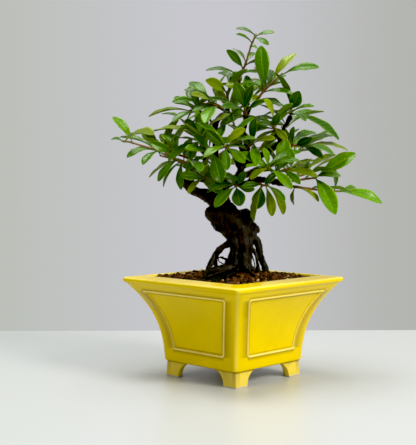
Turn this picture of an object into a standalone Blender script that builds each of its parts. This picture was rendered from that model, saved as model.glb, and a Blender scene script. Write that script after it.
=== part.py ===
"""A firethorn bonsai with exposed roots, planted in a square, flared, yellow glazed pot.

Sizes are millimetres and become metres when a mesh is made. The plant is set out on a front
drawing: x to the right and z up on the upright plane through the pot's axis, as the eye at EYE
sees it, and y is how far a point lies behind that plane, or in front of it where y is negative.
"""
import math
import random
from collections import namedtuple

import bmesh
import bpy
import numpy as np
from mathutils import Matrix, Vector
from mathutils.bvhtree import BVHTree

MM = 0.001
CLEARANCE = 0.3
EYE = Vector((-28.9, -716.0, 145.7))

# The pot: a square with softly rounded corners, one corner towards the front
POT_TURN = math.radians(45)
RIM_HALF = 59.7
RIM_TOP = 75.4
RIM_EDGE = 72.7
BASE_HALF = 37.3
BASE_TOP = 11.5
WALL_LEAN = 2.7
WALL_FLARE = 20.0
FLARE_POWER = 2.6
CORNER_RADIUS = 5.0
INNER_RADIUS = 0.8
FLOOR_TOP = 17.0
INNER_HALF = 29.5
INNER_SLOPE = 0.264
DRAIN_RADIUS = 6.5
PANEL_MARGIN = 12.2
PANEL_LOW = 21.8
PANEL_HIGH = 64.4
PANEL_DEPTH = 0.7
PANEL_ROWS = 3
BEAD_WIDTH = 1.6
BEAD_HEIGHT = 0.6
BASE_ROUND = 1.2
WALL_TOP = 69.0
# Round the rim and down inside: how far in from RIM_HALF, and the height
RIM_ROWS = [(1.5, 70.3), (0.3, 71.4), (0.0, 72.7), (0.6, 73.6), (2.2, 74.1), (12.0, RIM_TOP), (13.4, 74.5)]
INNER_TOP = 71.6

# The feet: a bracket of two wings under each corner
FOOT_REACH = 23.0
FOOT_TOE = 12.5
FOOT_THICK = 4.5
FOOT_SINK = 1.5
FOOT_FLARE = -1.6
FOOT_INSET = 2.4
FOOT_LIP = 1.2
FOOT_STEPS = 4

# The soil, its grains as relief, and what covers the drain hole
SOIL_EDGE = 74.2
SOIL_LOW = 20.2
SOIL_GAP = 0.5
SOIL_CROWN = 4.2
SOIL_CELLS = 20
GRAIN_RELIEF = 1.0
GRAIN_SHIFT = 0.9
EDGE_RELIEF = 0.4
HOLE_ROOM = 0.5
SCREEN_SIDE = 24.0
SCREEN_OPENINGS = 3
SCREEN_THICK = 1.2
SCREEN_BAR = 1.4
CLIP_RADIUS = 0.5
CLIP_LEG = 5.5
CLIP_REACH = 12.0
CLIP_BEND = 1.2

# The wood and the twigs: how far apart their cross-sections stand, and a twig's thickness
STRAND_STEP = 10.0
TWIG_STEP = 8.0
TWIG_FINE_STEP = 0.5
TWIG_BASE = 1.1
TWIG_END = 0.75
TWIG_LEAST_STEPS = 12

# The leaves: long obovate blades, thickest along the midrib
LEAF_THICK = 1.3
LEAF_SHARE = 0.34
LEAF_NARROWEST = 5.5
LEAF_WIDEST = 12.5
LEAF_ARCH = 0.12
PETIOLE_HALF = 0.5
LEAF_SPACING = 0.9
GROWN_LENGTHS = (22, 31)
GROWN_RISES = (-0.1, 0.7)
# Along the blade: share of its length, of its half width and of its thickness
BLADE_STATIONS = [(0.36, 0.66, 1.0), (0.66, 1.0, 1.0), (0.9, 0.62, 0.75)]

# What is tried in turn for a leaf that would cross another: (depth of its tip, roll)
LEAF_TRIES = [(shift, roll) for roll in (0.0, 0.35, -0.35, 0.8)
              for shift in (0, -4, 4, -8, 8, -12, 12, -17, 17, -23, 23)]
GROWN_TURNS = (0, 25, -25, 50, -50, 80, -80, 120, -120, 160)
GOLDEN_ANGLE = math.radians(137.5)

Leaf = namedtuple("Leaf", "start tip normal width arch")

MATERIALS = {
    "glaze": ((0.80, 0.62, 0.02), 0.18),
    "bark": ((0.030, 0.020, 0.013), 0.75),
    "soil": ((0.16, 0.065, 0.03), 0.95),
    "leaf": ((0.06, 0.22, 0.01), 0.35),
    "mesh": ((0.02, 0.02, 0.02), 0.6),
    "wire": ((0.55, 0.33, 0.2), 0.4),
}

# Roots, trunk and woody branches, each a list of (x, y, z, radius)
WOOD = {
    "heart": [(7, 2, 70, 6.5), (7, 2, 82, 7), (7, 2, 93, 7.5), (5.5, 1, 102, 10), (4, 0, 109, 11.5),
              (-1, 0, 114.5, 11.5), (-8, 0, 119.5, 10.5), (-9.5, 0, 126, 8.8), (-10, 1, 133, 7),
              (-13, 2, 140, 4.6), (-14, 3, 146, 3)],
    "right_burl": [(1, 0, 113, 8.5), (8, -1, 117, 8), (12, -1, 117.5, 6), (14.6, -1, 117, 3.2)],
    "right_knob": [(8, 0, 113, 7.5), (14, 0, 110.5, 5), (18.5, -1, 109.3, 2.6), (20.2, -1, 109, 1.5)],
    "knob_root": [(16, -1, 109.5, 3), (14, -3, 104.5, 3), (11.5, -5, 99, 2.6)],
    "left_burl": [(-6, 0, 119, 8.5), (-12.5, -1, 121.5, 8.3), (-18, -1, 122, 5.5), (-20.5, -1, 122.5, 2.5)],
    "front_burl": [(-5, -4, 126, 5.5), (1, -8, 117, 6), (6, -8, 107, 4.5), (6, -8, 98, 3)],
    "cut_stub": [(-8, 0, 128, 7), (-15, -1, 132.5, 5.5), (-22, -2, 136, 4.2), (-29, -2, 138.5, 3.2),
                 (-35, -3, 143, 3), (-38.5, -4, 150, 2.8)],
    "stub_spur": [(-30, -3, 139, 1.8), (-33, -6, 143.5, 1.4), (-30, -7, 147, 1.1)],
    "left_root": [(0, -1, 102, 3.8), (-5, -3, 98, 2.6), (-10, -4, 95.3, 2.1), (-13.5, -4, 91, 1.9),
                  (-15.6, -5, 86, 1.8), (-18.5, -6, 81, 1.7), (-20, -6, 70, 1.6)],
    "left_root_fork": [(-14, -4, 90, 1.5), (-12.8, -4, 82, 1.3), (-12.5, -5, 70, 1.3)],
    "crossing_root": [(-14, -4, 88.5, 0.9), (-8, -6, 88.5, 0.8), (-4.5, -7, 86, 0.9)],
    "surface_root": [(-23, -8, 72, 2.2), (-17, -12, 77.5, 3), (-9, -13, 79, 3.6), (-2, -10, 81, 3.4),
                     (4, -5, 84.5, 3.2)],
    "inner_left_root": [(2, -4, 101, 2.8), (-0.5, -6, 94.5, 2), (-2.5, -7, 88, 1.7), (-6, -7, 82.5, 1.6),
                        (-10, -7, 70, 1.5)],
    "front_left_root": [(3, -7, 106, 3), (1.8, -9.5, 97, 2.6), (1.6, -10, 88, 2.5), (1, -11, 70, 2.2)],
    "front_root": [(8, -7, 106, 3.2), (8.4, -9.5, 97, 2.9), (8.4, -10, 88, 2.8), (10, -11, 79, 2.9),
                   (10.5, -11, 70, 2.4)],
    "front_right_root": [(11, -5, 105, 2.8), (10, -7, 96, 2.2), (10.2, -8, 88, 1.9), (12, -8.5, 80, 1.8),
                         (13, -9, 70, 1.7)],
    "right_root": [(12, -1, 107, 3.2), (17, -2, 102, 2.5), (19.3, -2, 95, 2.1), (21, -2, 88, 2),
                   (24, -1, 81, 2), (26, 0, 70, 1.7)],
    "right_inner_root": [(12, -3, 98.5, 1.6), (15, -4, 95, 1.3), (17.2, -5, 90, 1.3), (18.3, -6, 84, 1.4),
                         (18.5, -6, 70, 1.3)],
    "back_right_root": [(9, 6, 105, 3.6), (9.5, 11, 96, 3), (9.5, 16, 87, 2.6), (14, 21, 78, 2.4),
                        (16, 22, 70, 2)],
    "back_root": [(5, 8, 105, 3.6), (5, 13, 95, 3), (4.5, 17, 86, 2.7), (5, 21, 78, 2.5),
                  (5, 22, 70, 2.1)],
    "back_left_root": [(0, 5, 105, 3.6), (1, 10, 96, 2.9), (0.5, 15, 87, 2.5), (-4, 20, 78, 2.3),
                       (-6, 21, 70, 1.9)],
    "left_stem": [(-11, 1, 135, 4.2), (-15, 1, 142, 3), (-19, 0, 150, 2.4), (-21, -2, 158, 2.1),
                  (-21, -4, 167, 1.8), (-24, -5, 172, 1.5)],
    "middle_stem": [(-13, 2, 141, 3), (-13, 5, 151, 2.5), (-13, 6, 162, 2.2), (-14, 6, 173, 2),
                    (-14, 5, 184, 1.9), (-11, 4, 192, 1.8), (-5.5, 3, 197, 1.7), (-4, 4, 205, 1.5)],
    "arched_branch": [(-12, 1, 137, 4), (-10, 0, 143, 3.2), (-5, -1, 147, 2.8), (1, -1, 146, 2.6),
                      (8, -3, 143, 2.4), (17, -7, 146.5, 2.2), (26, -9, 146.5, 2), (34, -10, 144.5, 1.8),
                      (43, -11, 142, 1.6)],
    "leader": [(0, -1, 146, 2.5), (5, 2, 152, 2.4), (8.5, 4, 162, 2.2), (10, 4, 175, 2.1),
               (6.5, 3, 182, 2), (9, 2, 188, 1.9), (9.5, 1, 196, 1.7), (12, 1, 201, 1.6)],
    "right_stem": [(6.5, 3, 156, 2.1), (14, 1, 161, 2), (23, -1, 166, 1.9), (31, -3, 171, 1.8),
                   (35.8, -4, 177, 1.7), (36.5, -4, 183, 1.6), (40, -4, 189, 1.5), (42.7, -4, 194, 1.4)],
    "right_fork": [(35, -4, 174, 1.5), (33.5, -7, 179, 1.4), (31.5, -8, 182, 1.3)],
    "back_left_branch": [(-11, 3, 138, 3.4), (-18, 13, 144, 2.6), (-28, 24, 151, 2),
                         (-37, 33, 158, 1.5)],
    "back_right_branch": [(-8, 3, 141, 3), (4, 12, 148, 2.4), (18, 24, 154, 2), (33, 36, 160, 1.5)],
    "back_branch": [(-11, 4, 139, 3), (-8, 14, 144, 2.4), (-8, 25, 148, 1.9), (-9, 34, 151, 1.5)],
    "high_back_branch": [(9, 4, 164, 2.2), (6, 14, 171, 1.9), (3, 23, 179, 1.7), (1, 30, 186, 1.4)],
    "front_branch": [(6, 3, 155, 2.3), (3, -7, 161, 1.9), (0, -16, 166, 1.7), (-3, -23, 169, 1.4)],
    "low_front_branch": [(12, -5, 144.5, 2.2), (15, -14, 149, 1.8), (18, -21, 152, 1.5)],
}

# Each leafy shoot: the twig's points (x, y, z); its leaves seen from the front, each the place
# where it leaves the twig, its tip, the width seen and how far the tip lies behind its start;
# and how many more leaves stand round the twig, out of the front view
SHOOTS = {
    "apex_shoot": (
        [(12, 1, 201), (9, 2, 212), (3, 2, 220), (5.5, 1, 227), (9, 0, 232), (11.5, 0, 241),
         (14, 0, 249), (17, -1, 255.5)],
        [(14.8, 254.9, 1.9, 258.9, 2.2, 3), (11.6, 249.6, 2.2, 254.9, 1.2, -6),
         (18.9, 254.6, 30.5, 256.2, 3.0, -5), (17.5, 252.6, 26.2, 246.9, 3.7, -8),
         (6.6, 229.7, -5.1, 242.9, 6.0, -14), (10.9, 232.9, 15.5, 241.3, 5.2, 13),
         (1.0, 226.0, -20.4, 228.0, 3.4, -6), (3.0, 221.0, -11.4, 226.3, 4.5, 10),
         (11.6, 232.0, 19.5, 234.3, 1.5, -9), (5.5, 224.0, 21.9, 226.3, 2.6, -10),
         (7.0, 217.0, 20.5, 221.0, 2.2, 12), (8.0, 213.0, -6.0, 217.0, 4.0, -10),
         (9.0, 233.0, 0.0, 244.0, 3.0, 12), (13.0, 246.0, 19.0, 243.0, 2.5, 9)], 0),
    "upper_right_shoot": (
        [(10.5, 0, 198), (16, -4, 204), (20.5, -5, 210.4), (25.5, -6, 215.7), (29.5, -6, 219.4),
         (36.9, -7, 226)],
        [(23.9, 216.0, 20.5, 246.3, 11.2, -4), (28.5, 219.7, 46.5, 240.6, 6.3, 4),
         (37.5, 226.3, 63.8, 230.6, 5.2, -4), (22.8, 211.4, 44.8, 210.4, 4.1, -12),
         (17.9, 206.4, 35.1, 201.4, 3.0, -16), (22.9, 213.4, 8.0, 219.0, 1.5, -12),
         (20.0, 209.0, 6.0, 206.0, 6.0, -10)], 3),
    "right_rosette": (
        [(42.7, -4, 194), (43.5, -5, 198), (43, -6, 202)],
        [(42.3, 200.0, 30.7, 226.8, 2.6, -3), (43.5, 199.7, 49.0, 212.8, 9.7, -16),
         (44.0, 197.1, 60.1, 201.5, 1.5, -14), (43.5, 196.9, 78.9, 176.7, 5.2, -6),
         (43.5, 195.6, 53.8, 190.6, 2.2, -18), (41.5, 197.6, 23.6, 204.5, 2.2, -12),
         (42.0, 196.6, 22.4, 194.8, 1.5, 10)], 0),
    "right_fork_shoot": (
        [(31.5, -8, 182), (31, -10, 186), (29, -12, 190)],
        [(31.0, 187.0, 34.1, 196.2, 6.0, -16), (29.9, 189.4, 22.9, 206.8, 3.0, -8),
         (30.8, 184.7, 18.8, 188.3, 1.5, -16), (30.9, 187.7, 17.2, 193.0, 3.0, 6),
         (31.0, 185.0, 13.2, 182.3, 3.7, -10), (30.5, 186.0, 40.0, 176.0, 6.0, -14)], 2),
    "right_middle_shoot": (
        [(35.8, -4, 175), (41, -8, 173.5), (47, -10, 172), (53.5, -11, 171.5)],
        [(46.8, 173.0, 58.8, 178.0, 6.7, -16), (53.5, 171.8, 85.6, 168.8, 2.6, 4),
         (52.5, 170.8, 66.9, 162.8, 6.0, -14), (53.2, 171.2, 75.1, 165.3, 3.7, -12),
         (45.3, 173.0, 45.3, 186.4, 3.7, -10), (40.8, 174.9, 49.1, 184.9, 2.2, 12)], 2),
    "low_front_shoot": (
        [(18, -21, 152), (23, -29, 154.5), (28, -36, 156)],
        [(26.0, 155.4, 13.0, 147.0, 5.0, -14), (28.0, 155.8, 44.0, 140.0, 6.5, -8),
         (28.4, 156.0, 50.0, 161.0, 3.5, -10), (27.6, 155.8, 22.0, 170.5, 4.0, -10)], 2),
    "right_front_shoot": (
        [(26, -9, 146.5), (29, -14, 149.5), (32, -18, 152), (37, -20, 154), (44, -21, 156)],
        [(33.9, 153.5, 39.5, 177.0, 11.2, -4), (30.0, 151.5, 4.2, 166.6, 6.0, -2),
         (32.0, 152.5, 15.2, 152.1, 3.7, -15), (35.2, 153.8, 63.2, 149.1, 5.2, -2),
         (31.8, 153.0, 26.8, 168.0, 2.2, 8), (43.0, 155.7, 41.0, 170.3, 6.0, -14),
         (44.0, 156.2, 62.2, 161.4, 2.2, -8),
         (38.0, 154.2, 24.0, 143.0, 5.0, -12), (36.0, 153.6, 50.0, 143.5, 5.0, -12)], 3),
    "hanging_shoot": (
        [(17, -7, 146.5), (19.5, -13, 144.5), (22, -17, 142.5), (27, -20, 143)],
        [(21.4, 142.5, 6.7, 142.0, 5.2, -8), (20.9, 143.0, 17.4, 124.9, 10.4, -6),
         (21.4, 142.6, 15.6, 116.0, 5.2, 6), (23.8, 142.2, 29.2, 119.5, 7.5, -2),
         (25.9, 142.8, 37.8, 120.9, 6.0, 4), (26.5, 143.0, 38.1, 130.5, 3.0, -12)], 0),
    "low_right_shoot": (
        [(43, -11, 142), (54.5, -12, 140.5), (65, -12, 139), (74, -12, 138.3), (80, -12, 138.3)],
        [(48.5, 140.9, 63.8, 130.5, 2.2, -14), (77.8, 138.3, 111.7, 129.4, 8.2, -3),
         (75.9, 138.3, 74.2, 156.1, 4.1, 10), (78.1, 138.5, 93.9, 137.8, 6.7, 16),
         (46.0, 141.4, 45.2, 127.9, 3.7, 10)], 2),
    "right_end_rosette": (
        [(37, -10, 144), (45, -4, 146), (55, -4, 147.5), (63, -5, 148.5)],
        [(62.1, 148.5, 91.4, 166.5, 10.4, -3), (61.7, 148.2, 76.6, 120.8, 10.4, -6),
         (62.2, 148.3, 80.4, 149.5, 4.5, -16), (56.0, 147.6, 58.0, 163.0, 4.0, 12)], 2),
    "low_left_inner_shoot": (
        [(-19, 0, 150), (-21, -6, 149), (-22, -11, 148)],
        [(-21.0, 149.0, -8.0, 136.5, 8.0, -12), (-22.0, 148.5, -40.0, 150.5, 7.0, -12),
         (-21.8, 148.4, -33.5, 136.4, 4.0, -10), (-21.5, 148.8, -11.0, 157.0, 5.0, -12),
         (-21.6, 148.6, -14.5, 142.5, 8.0, -14)], 3),
    "low_centre_shoot": (
        [(4, -2, 143.5), (3, -9, 142.5), (1.5, -14, 141.5)],
        [(2.0, 141.8, -14.0, 126.4, 7.5, -6), (2.2, 141.6, 5.2, 127.1, 10.4, -12),
         (2.6, 142.0, -17.9, 139.0, 4.5, -10), (2.4, 142.2, 16.0, 139.5, 6.0, -12),
         (3.4, 142.6, -6.0, 152.0, 6.5, -10), (3.2, 142.6, 9.0, 153.0, 6.0, -12)], 2),
    "front_left_shoot": (
        [(-21, -4, 163), (-18, -12, 166), (-15, -18, 168)],
        [(-15.9, 168.0, -9.2, 144.5, 12.0, -8), (-18.4, 166.0, -35.2, 152.2, 4.0, -10),
         (-18.0, 166.5, -36.0, 170.0, 4.5, -14), (-16.0, 167.6, -2.0, 178.0, 5.5, -10),
         (-17.0, 167.0, -30.0, 180.0, 5.0, -12), (-18.4, 166.0, -23.5, 150.0, 6.5, -8)], 2),
    "far_left_shoot": (
        [(-21, -2, 158), (-33, -6, 162.5), (-45.7, -8, 167.3), (-55.9, -9, 169.1),
         (-66.8, -10, 171.7), (-78.5, -10, 175.3), (-83.5, -10, 175.7)],
        [(-75.5, 174.7, -89.8, 193.5, 6.3, -6), (-80.8, 175.3, -59.5, 180.3, 2.6, -12),
         (-82.0, 175.5, -91.0, 177.0, 2.2, 6), (-60.2, 170.0, -79.2, 163.4, 3.4, -12),
         (-54.2, 168.7, -67.5, 158.1, 3.4, -16), (-45.9, 167.6, -61.9, 174.5, 7.5, -10),
         (-42.0, 166.0, -53.0, 181.2, 6.0, 12)], 3),
    "left_rosette": (
        [(-24, -5, 172), (-25.5, -7, 176), (-25.5, -8, 179)],
        [(-25.5, 177.4, -60.8, 182.7, 3.7, 2), (-25.6, 178.7, -27.8, 198.6, 6.0, -10),
         (-25.3, 178.2, -19.9, 193.4, 6.3, -16), (-25.4, 177.7, -2.5, 195.6, 1.5, -5),
         (-25.2, 176.8, 10.2, 169.5, 3.7, -14), (-25.2, 176.3, -31.5, 161.8, 6.0, -18),
         (-25.4, 176.0, -48.6, 160.6, 6.3, -10), (-25.4, 178.0, -43.0, 193.1, 5.0, 12)], 1),
    "low_left_shoot": (
        [(-19.5, -1, 153), (-30, -10, 157.5), (-38, -14, 161), (-42, -15, 162.5)],
        [(-41.5, 161.8, -56.2, 145.7, 5.6, -4), (-40.5, 161.4, -62.8, 148.8, 1.8, 10),
         (-38.5, 160.9, -52.4, 141.5, 2.2, 4), (-38.8, 160.9, -39.0, 139.3, 6.0, -6),
         (-36.3, 160.6, -25.5, 152.8, 3.7, -16)], 1),
    "upper_left_shoot": (
        [(-6, 3, 197), (-10, -2, 201), (-17, -5, 203), (-25.6, -7, 203.5)],
        [(-10.9, 201.5, -36.5, 213.7, 3.7, -4), (-15.2, 202.5, -31.6, 210.1, 3.0, -14),
         (-24.6, 203.2, -45.4, 204.4, 4.1, -10), (-9.4, 200.3, -30.6, 197.5, 3.7, -14),
         (-8.5, 199.5, -1.0, 190.0, 5.0, -16), (-12.0, 202.0, -21.0, 189.0, 4.0, -12)], 2),
    "middle_top_shoot": (
        [(-4, 4, 205), (-4, 3, 209), (-5, 2, 213)],
        [(-5.0, 210.6, -20.7, 220.6, 6.7, -12), (-4.5, 211.3, 4.0, 226.9, 9.7, -12),
         (-4.6, 212.0, -8.0, 229.0, 4.0, 10)], 1),
    "middle_left_shoot": (
        [(-14, 5, 186), (-19, 0, 194), (-25, -4, 197.5), (-33, -6, 198.5)],
        [(-32.8, 198.7, -63.2, 193.9, 1.9, -4), (-24.9, 196.9, -45.1, 189.8, 3.0, -14),
         (-29.0, 197.6, -44.0, 208.1, 5.0, 10)], 2),
    "leader_front_shoot": (
        [(9.5, 1, 193), (9, -8, 197), (8, -15, 201)],
        [(8.6, 199.0, 1.5, 218.9, 9.7, -10), (8.4, 199.6, 14.5, 216.6, 6.7, -14),
         (9.0, 197.0, 24.2, 205.3, 4.0, -16), (9.2, 195.4, -10.0, 187.4, 6.0, -12),
         (9.2, 195.8, 20.5, 185.4, 5.0, -14), (9.1, 197.6, -9.0, 200.7, 3.0, -16)], 2),
    "centre_front_shoot": (
        [(-3, -23, 169), (-5, -30, 171), (-7, -36, 172)],
        [(-5.8, 171.2, -20.4, 183.7, 8.0, -6), (-6.2, 171.6, 8.8, 185.0, 6.0, -8),
         (-5.6, 171.0, 9.0, 159.6, 7.0, -10), (-6.4, 171.6, -22.0, 163.6, 5.0, -12),
         (-6.0, 171.2, -4.5, 154.0, 7.0, -8)], 3),
    "centre_shoot": (
        [(9.5, 4, 170), (12, -4, 172), (15, -11, 174)],
        [(14.0, 173.4, 31.1, 177.4, 3.7, -14), (14.6, 173.8, 16.2, 192.8, 6.0, -12),
         (13.6, 173.0, 17.0, 157.4, 7.5, -14), (13.2, 172.8, -4.0, 178.8, 4.0, -14)], 4),
    "inner_left_shoot": (
        [(-13.5, 6, 166), (-19, 9, 171), (-26, 10, 176)], [(-24.0, 175.0, -40.0, 187.0, 6.0, 6)], 5),
    "inner_right_shoot": (
        [(12, 1.7, 160), (18, 8, 165), (24, 13, 170)], [(23.0, 169.5, 34.0, 183.0, 6.0, 6)], 5),
    "inner_high_shoot": (
        [(-14, 5, 182), (-8, -3, 187), (-4, -8, 190)],
        [(-5.0, 189.5, -14.0, 176.0, 6.0, -8), (-4.6, 189.8, 6.0, 200.0, 7.0, -6)], 3),
    "back_left_shoot": ([(-37, 33, 158), (-45, 41, 163), (-54, 48, 167)], [], 7),
    "back_right_shoot": ([(33, 36, 160), (42, 44, 165), (52, 50, 170)], [], 7),
    "back_shoot": ([(-9, 34, 151), (-11, 43, 154), (-13, 53, 156)], [], 7),
    "high_back_shoot": ([(1, 30, 186), (-1, 38, 193), (-4, 45, 200)], [], 7),
    "back_apex_shoot": ([(10.5, 1, 199), (11, 8, 203), (11, 15, 207), (10, 21, 210)], [], 6),
    "left_back_shoot": ([(-14, 6, 176), (-22, 15, 182), (-31, 24, 187), (-38, 31, 191)], [], 7),
    "right_back_shoot": ([(38, -4, 186), (39, 6, 187), (40, 17, 187), (40, 27, 186)], [], 6),
    "low_right_back_shoot": ([(26, -9, 146.5), (35, 1, 147), (47, 11, 149), (58, 20, 152)], [], 7),
    "low_left_back_shoot": ([(-20, -1, 155), (-32, 8, 158), (-44, 15, 162), (-55, 21, 165)], [], 7),
}


def drawn(x, y, z):
    """A point of the front drawing, moved back by y along the line of sight through it."""
    return EYE + (Vector((x, 0, z)) - EYE) * ((y - EYE.y) / -EYE.y)


def curve_through(points, step):
    """Points of a smooth curve through the given rows, about one step apart."""
    rows = np.array(points, dtype=float)
    rows = np.vstack([2 * rows[0] - rows[1], rows, 2 * rows[-1] - rows[-2]])
    smooth = []
    for before, first, last, after in zip(rows, rows[1:], rows[2:], rows[3:]):
        count = max(1, round(np.linalg.norm((last - first)[:3]) / step))
        for i in range(count):
            t = i / count
            smooth.append(0.5 * (2 * first + (last - before) * t
                                 + (2 * before - 5 * first + 4 * last - after) * t ** 2
                                 + (3 * first - before - 3 * last + after) * t ** 3))
    smooth.append(rows[-2])
    return smooth


def new_object(name, mesh, matrix=None):
    """A mesh object in the scene."""
    made = bpy.data.objects.new(name, mesh)
    bpy.context.scene.collection.objects.link(made)
    if matrix:
        made.matrix_world = matrix
    return made


def mesh_object(name, points, faces):
    """A closed mesh from points in millimetres, with its faces turned outwards."""
    mesh = bpy.data.meshes.new(name)
    mesh.from_pydata([point * MM for point in points], [], faces)
    body = bmesh.new()
    body.from_mesh(mesh)
    bmesh.ops.recalc_face_normals(body, faces=body.faces)
    body.to_mesh(mesh)
    body.free()
    return new_object(name, mesh)


def evaluated_copy(source):
    """The object's evaluated shape as a plain welded mesh that takes its place."""
    bpy.context.view_layer.update()
    graph = bpy.context.evaluated_depsgraph_get()
    mesh = bpy.data.meshes.new_from_object(source.evaluated_get(graph))
    body = bmesh.new()
    body.from_mesh(mesh)
    bmesh.ops.remove_doubles(body, verts=body.verts, dist=1e-6)
    bmesh.ops.recalc_face_normals(body, faces=body.faces)
    body.to_mesh(mesh)
    body.free()
    name, matrix = source.name, source.matrix_world.copy()
    bpy.data.objects.remove(source)
    return new_object(name, mesh, matrix)


def tube(name, points, radii, sides=6):
    """A round bar through the points, with closed ends."""
    curve = bpy.data.curves.new(name, "CURVE")
    curve.dimensions = "3D"
    curve.bevel_depth = MM
    curve.bevel_resolution = sides // 2 - 2
    curve.use_fill_caps = True
    spline = curve.splines.new("POLY")
    spline.points.add(len(points) - 1)
    for target, point, radius in zip(spline.points, points, radii):
        target.co = (*(point * MM), 1)
        target.radius = radius
    return evaluated_copy(new_object(name, curve))


def united(name, pieces, operation="UNION", solver="EXACT"):
    """The first piece joined with, or cut by, the others."""
    first, *others = pieces
    group = bpy.data.collections.new(name + "_pieces")
    for piece in others:
        group.objects.link(piece)
    boolean = first.modifiers.new("boolean", "BOOLEAN")
    boolean.operation = operation
    boolean.operand_type = "COLLECTION"
    boolean.collection = group
    boolean.solver = solver
    first.name = name
    joined = evaluated_copy(first)
    joined.name = name
    for piece in others:
        bpy.data.objects.remove(piece)
    bpy.data.collections.remove(group)
    return joined


def surface_of(made):
    """The object's points in millimetres and its faces."""
    points = [made.matrix_world @ vertex.co / MM for vertex in made.data.vertices]
    return points, [tuple(face.vertices) for face in made.data.polygons]


def search_tree(surfaces):
    """One search tree over several surfaces, or None without any."""
    points, faces = [], []
    for some_points, some_faces in surfaces:
        first = len(points)
        points += some_points
        faces += [tuple(first + i for i in face) for face in some_faces]
    return BVHTree.FromPolygons(points, faces) if faces else None


# The pot

def wall_half(height):
    """Half the pot's outside width at a height."""
    share = (height - BASE_TOP) / (RIM_EDGE - BASE_TOP)
    return BASE_HALF + WALL_LEAN * share + WALL_FLARE * max(0.0, share) ** FLARE_POWER


def square_ring(half, height, row_kind=0, radius=CORNER_RADIUS):
    """One turn round the pot; row_kind is 0 on plain wall, 1 along a bead and 2 across a panel."""
    ring = []
    side_steps = [PANEL_MARGIN - BEAD_WIDTH / 2, PANEL_MARGIN, PANEL_MARGIN + BEAD_WIDTH / 2]
    share = half / BASE_HALF
    steps = side_steps if half >= BASE_HALF - 1 else [step * share for step in side_steps]
    columns = [(steps[0], 0), (steps[1], 1), (steps[2], 2)]
    columns += [(2 * half - step, kind) for step, kind in reversed(columns)]
    for quarter in range(4):
        turn = Matrix.Rotation(quarter * math.pi / 2 + POT_TURN, 3, "Z")
        for bend in (0, 45, 90):
            angle = math.radians(bend - 90)
            corner = Vector((half - radius, -half + radius, height))
            ring.append(turn @ (corner + radius * Vector((math.cos(angle), math.sin(angle), 0))))
        for along, column_kind in columns:
            out = 0.0
            if row_kind and column_kind:
                out = BEAD_HEIGHT if 1 in (row_kind, column_kind) else -PANEL_DEPTH
            ring.append(turn @ Vector((half + out, -half + along, height)))
    return ring


def round_ring(radius, height, count):
    """A round turn with as many points as the square ones, starting at the same corner."""
    start = POT_TURN - math.pi / 4 - math.pi / count * 2
    angles = [start + 2 * math.pi * i / count for i in range(count)]
    return [Vector((radius * math.cos(a), radius * math.sin(a), height)) for a in angles]


def pot_rings():
    """The pot's section, from the drain hole out, up the wall, over the rim and back inside."""
    half_bead = BEAD_WIDTH / 2
    rings = [square_ring(BASE_HALF - BASE_ROUND, BASE_TOP)]
    rows = [(BASE_TOP + BASE_ROUND, 0)]
    rows += [(PANEL_LOW - half_bead, 0), (PANEL_LOW, 1), (PANEL_LOW + half_bead, 2)]
    for i in range(1, PANEL_ROWS + 1):
        share = i / (PANEL_ROWS + 1)
        rows.append((PANEL_LOW + (PANEL_HIGH - PANEL_LOW) * share, 2))
    rows += [(PANEL_HIGH - half_bead, 2), (PANEL_HIGH, 1), (PANEL_HIGH + half_bead, 0)]
    rows.append((WALL_TOP, 0))
    rings += [square_ring(wall_half(height), height, kind) for height, kind in rows]
    rings += [square_ring(RIM_HALF - inset, height) for inset, height in RIM_ROWS]
    for height in (INNER_TOP, FLOOR_TOP):
        rings.append(square_ring(inner_half(height), height, 0, INNER_RADIUS))
    count = len(rings[0])
    rings.append(round_ring(DRAIN_RADIUS, FLOOR_TOP, count))
    rings.append(round_ring(DRAIN_RADIUS, BASE_TOP, count))
    return rings


def inner_half(height):
    """Half the width of the pot's inside at a height."""
    return INNER_HALF + (height - FLOOR_TOP) * INNER_SLOPE


def foot_wing(side):
    """Half of a bracket foot: a thick outline along one side of the corner, flared at its toe."""
    low_out = wall_half(BASE_TOP) + FOOT_FLARE
    high_out = wall_half(BASE_TOP) - FOOT_INSET
    outline = [(0.0, 0.0), (FOOT_TOE, 0.0)]
    for i in range(FOOT_STEPS + 1):
        angle = math.pi / 2 * i / FOOT_STEPS
        across = FOOT_TOE + (FOOT_REACH - FOOT_TOE) * (1 - math.cos(angle))
        outline.append((across, FOOT_LIP + (BASE_TOP - FOOT_LIP) * math.sin(angle)))
    outline += [(FOOT_REACH, BASE_TOP + FOOT_SINK), (0.0, BASE_TOP + FOOT_SINK)]
    points = []
    for depth in (0.0, FOOT_THICK):
        for along, height in outline:
            share = min(1.0, height / BASE_TOP)
            out = low_out + (high_out - low_out) * math.sqrt(share)
            points.append(Vector((out - depth, side * (out - along), height)))
    count = len(outline)
    faces = [tuple(range(count)), tuple(range(count, 2 * count))]
    for i in range(count):
        after = (i + 1) % count
        faces.append((i, after, count + after, count + i))
    return points, faces


def make_pot():
    """Wall, rim, floor with its drain hole, and four bracket feet, fired as one piece."""
    rings = pot_rings()
    count = len(rings[0])
    points = [point for ring in rings for point in ring]
    faces = []
    for row in range(len(rings)):
        after_row = (row + 1) % len(rings)
        for i in range(count):
            after = (i + 1) % count
            faces.append((row * count + i, row * count + after,
                          after_row * count + after, after_row * count + i))
    pieces = [mesh_object("pot", points, faces)]
    for quarter in range(4):
        for side in (1, -1):
            wing_points, wing_faces = foot_wing(side)
            turn = Matrix.Rotation(quarter * math.pi / 2 + POT_TURN, 3, "Z")
            pieces.append(mesh_object("foot", [turn @ point for point in wing_points], wing_faces))
    return united("pot", pieces)


# The soil and what covers the drain hole

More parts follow.
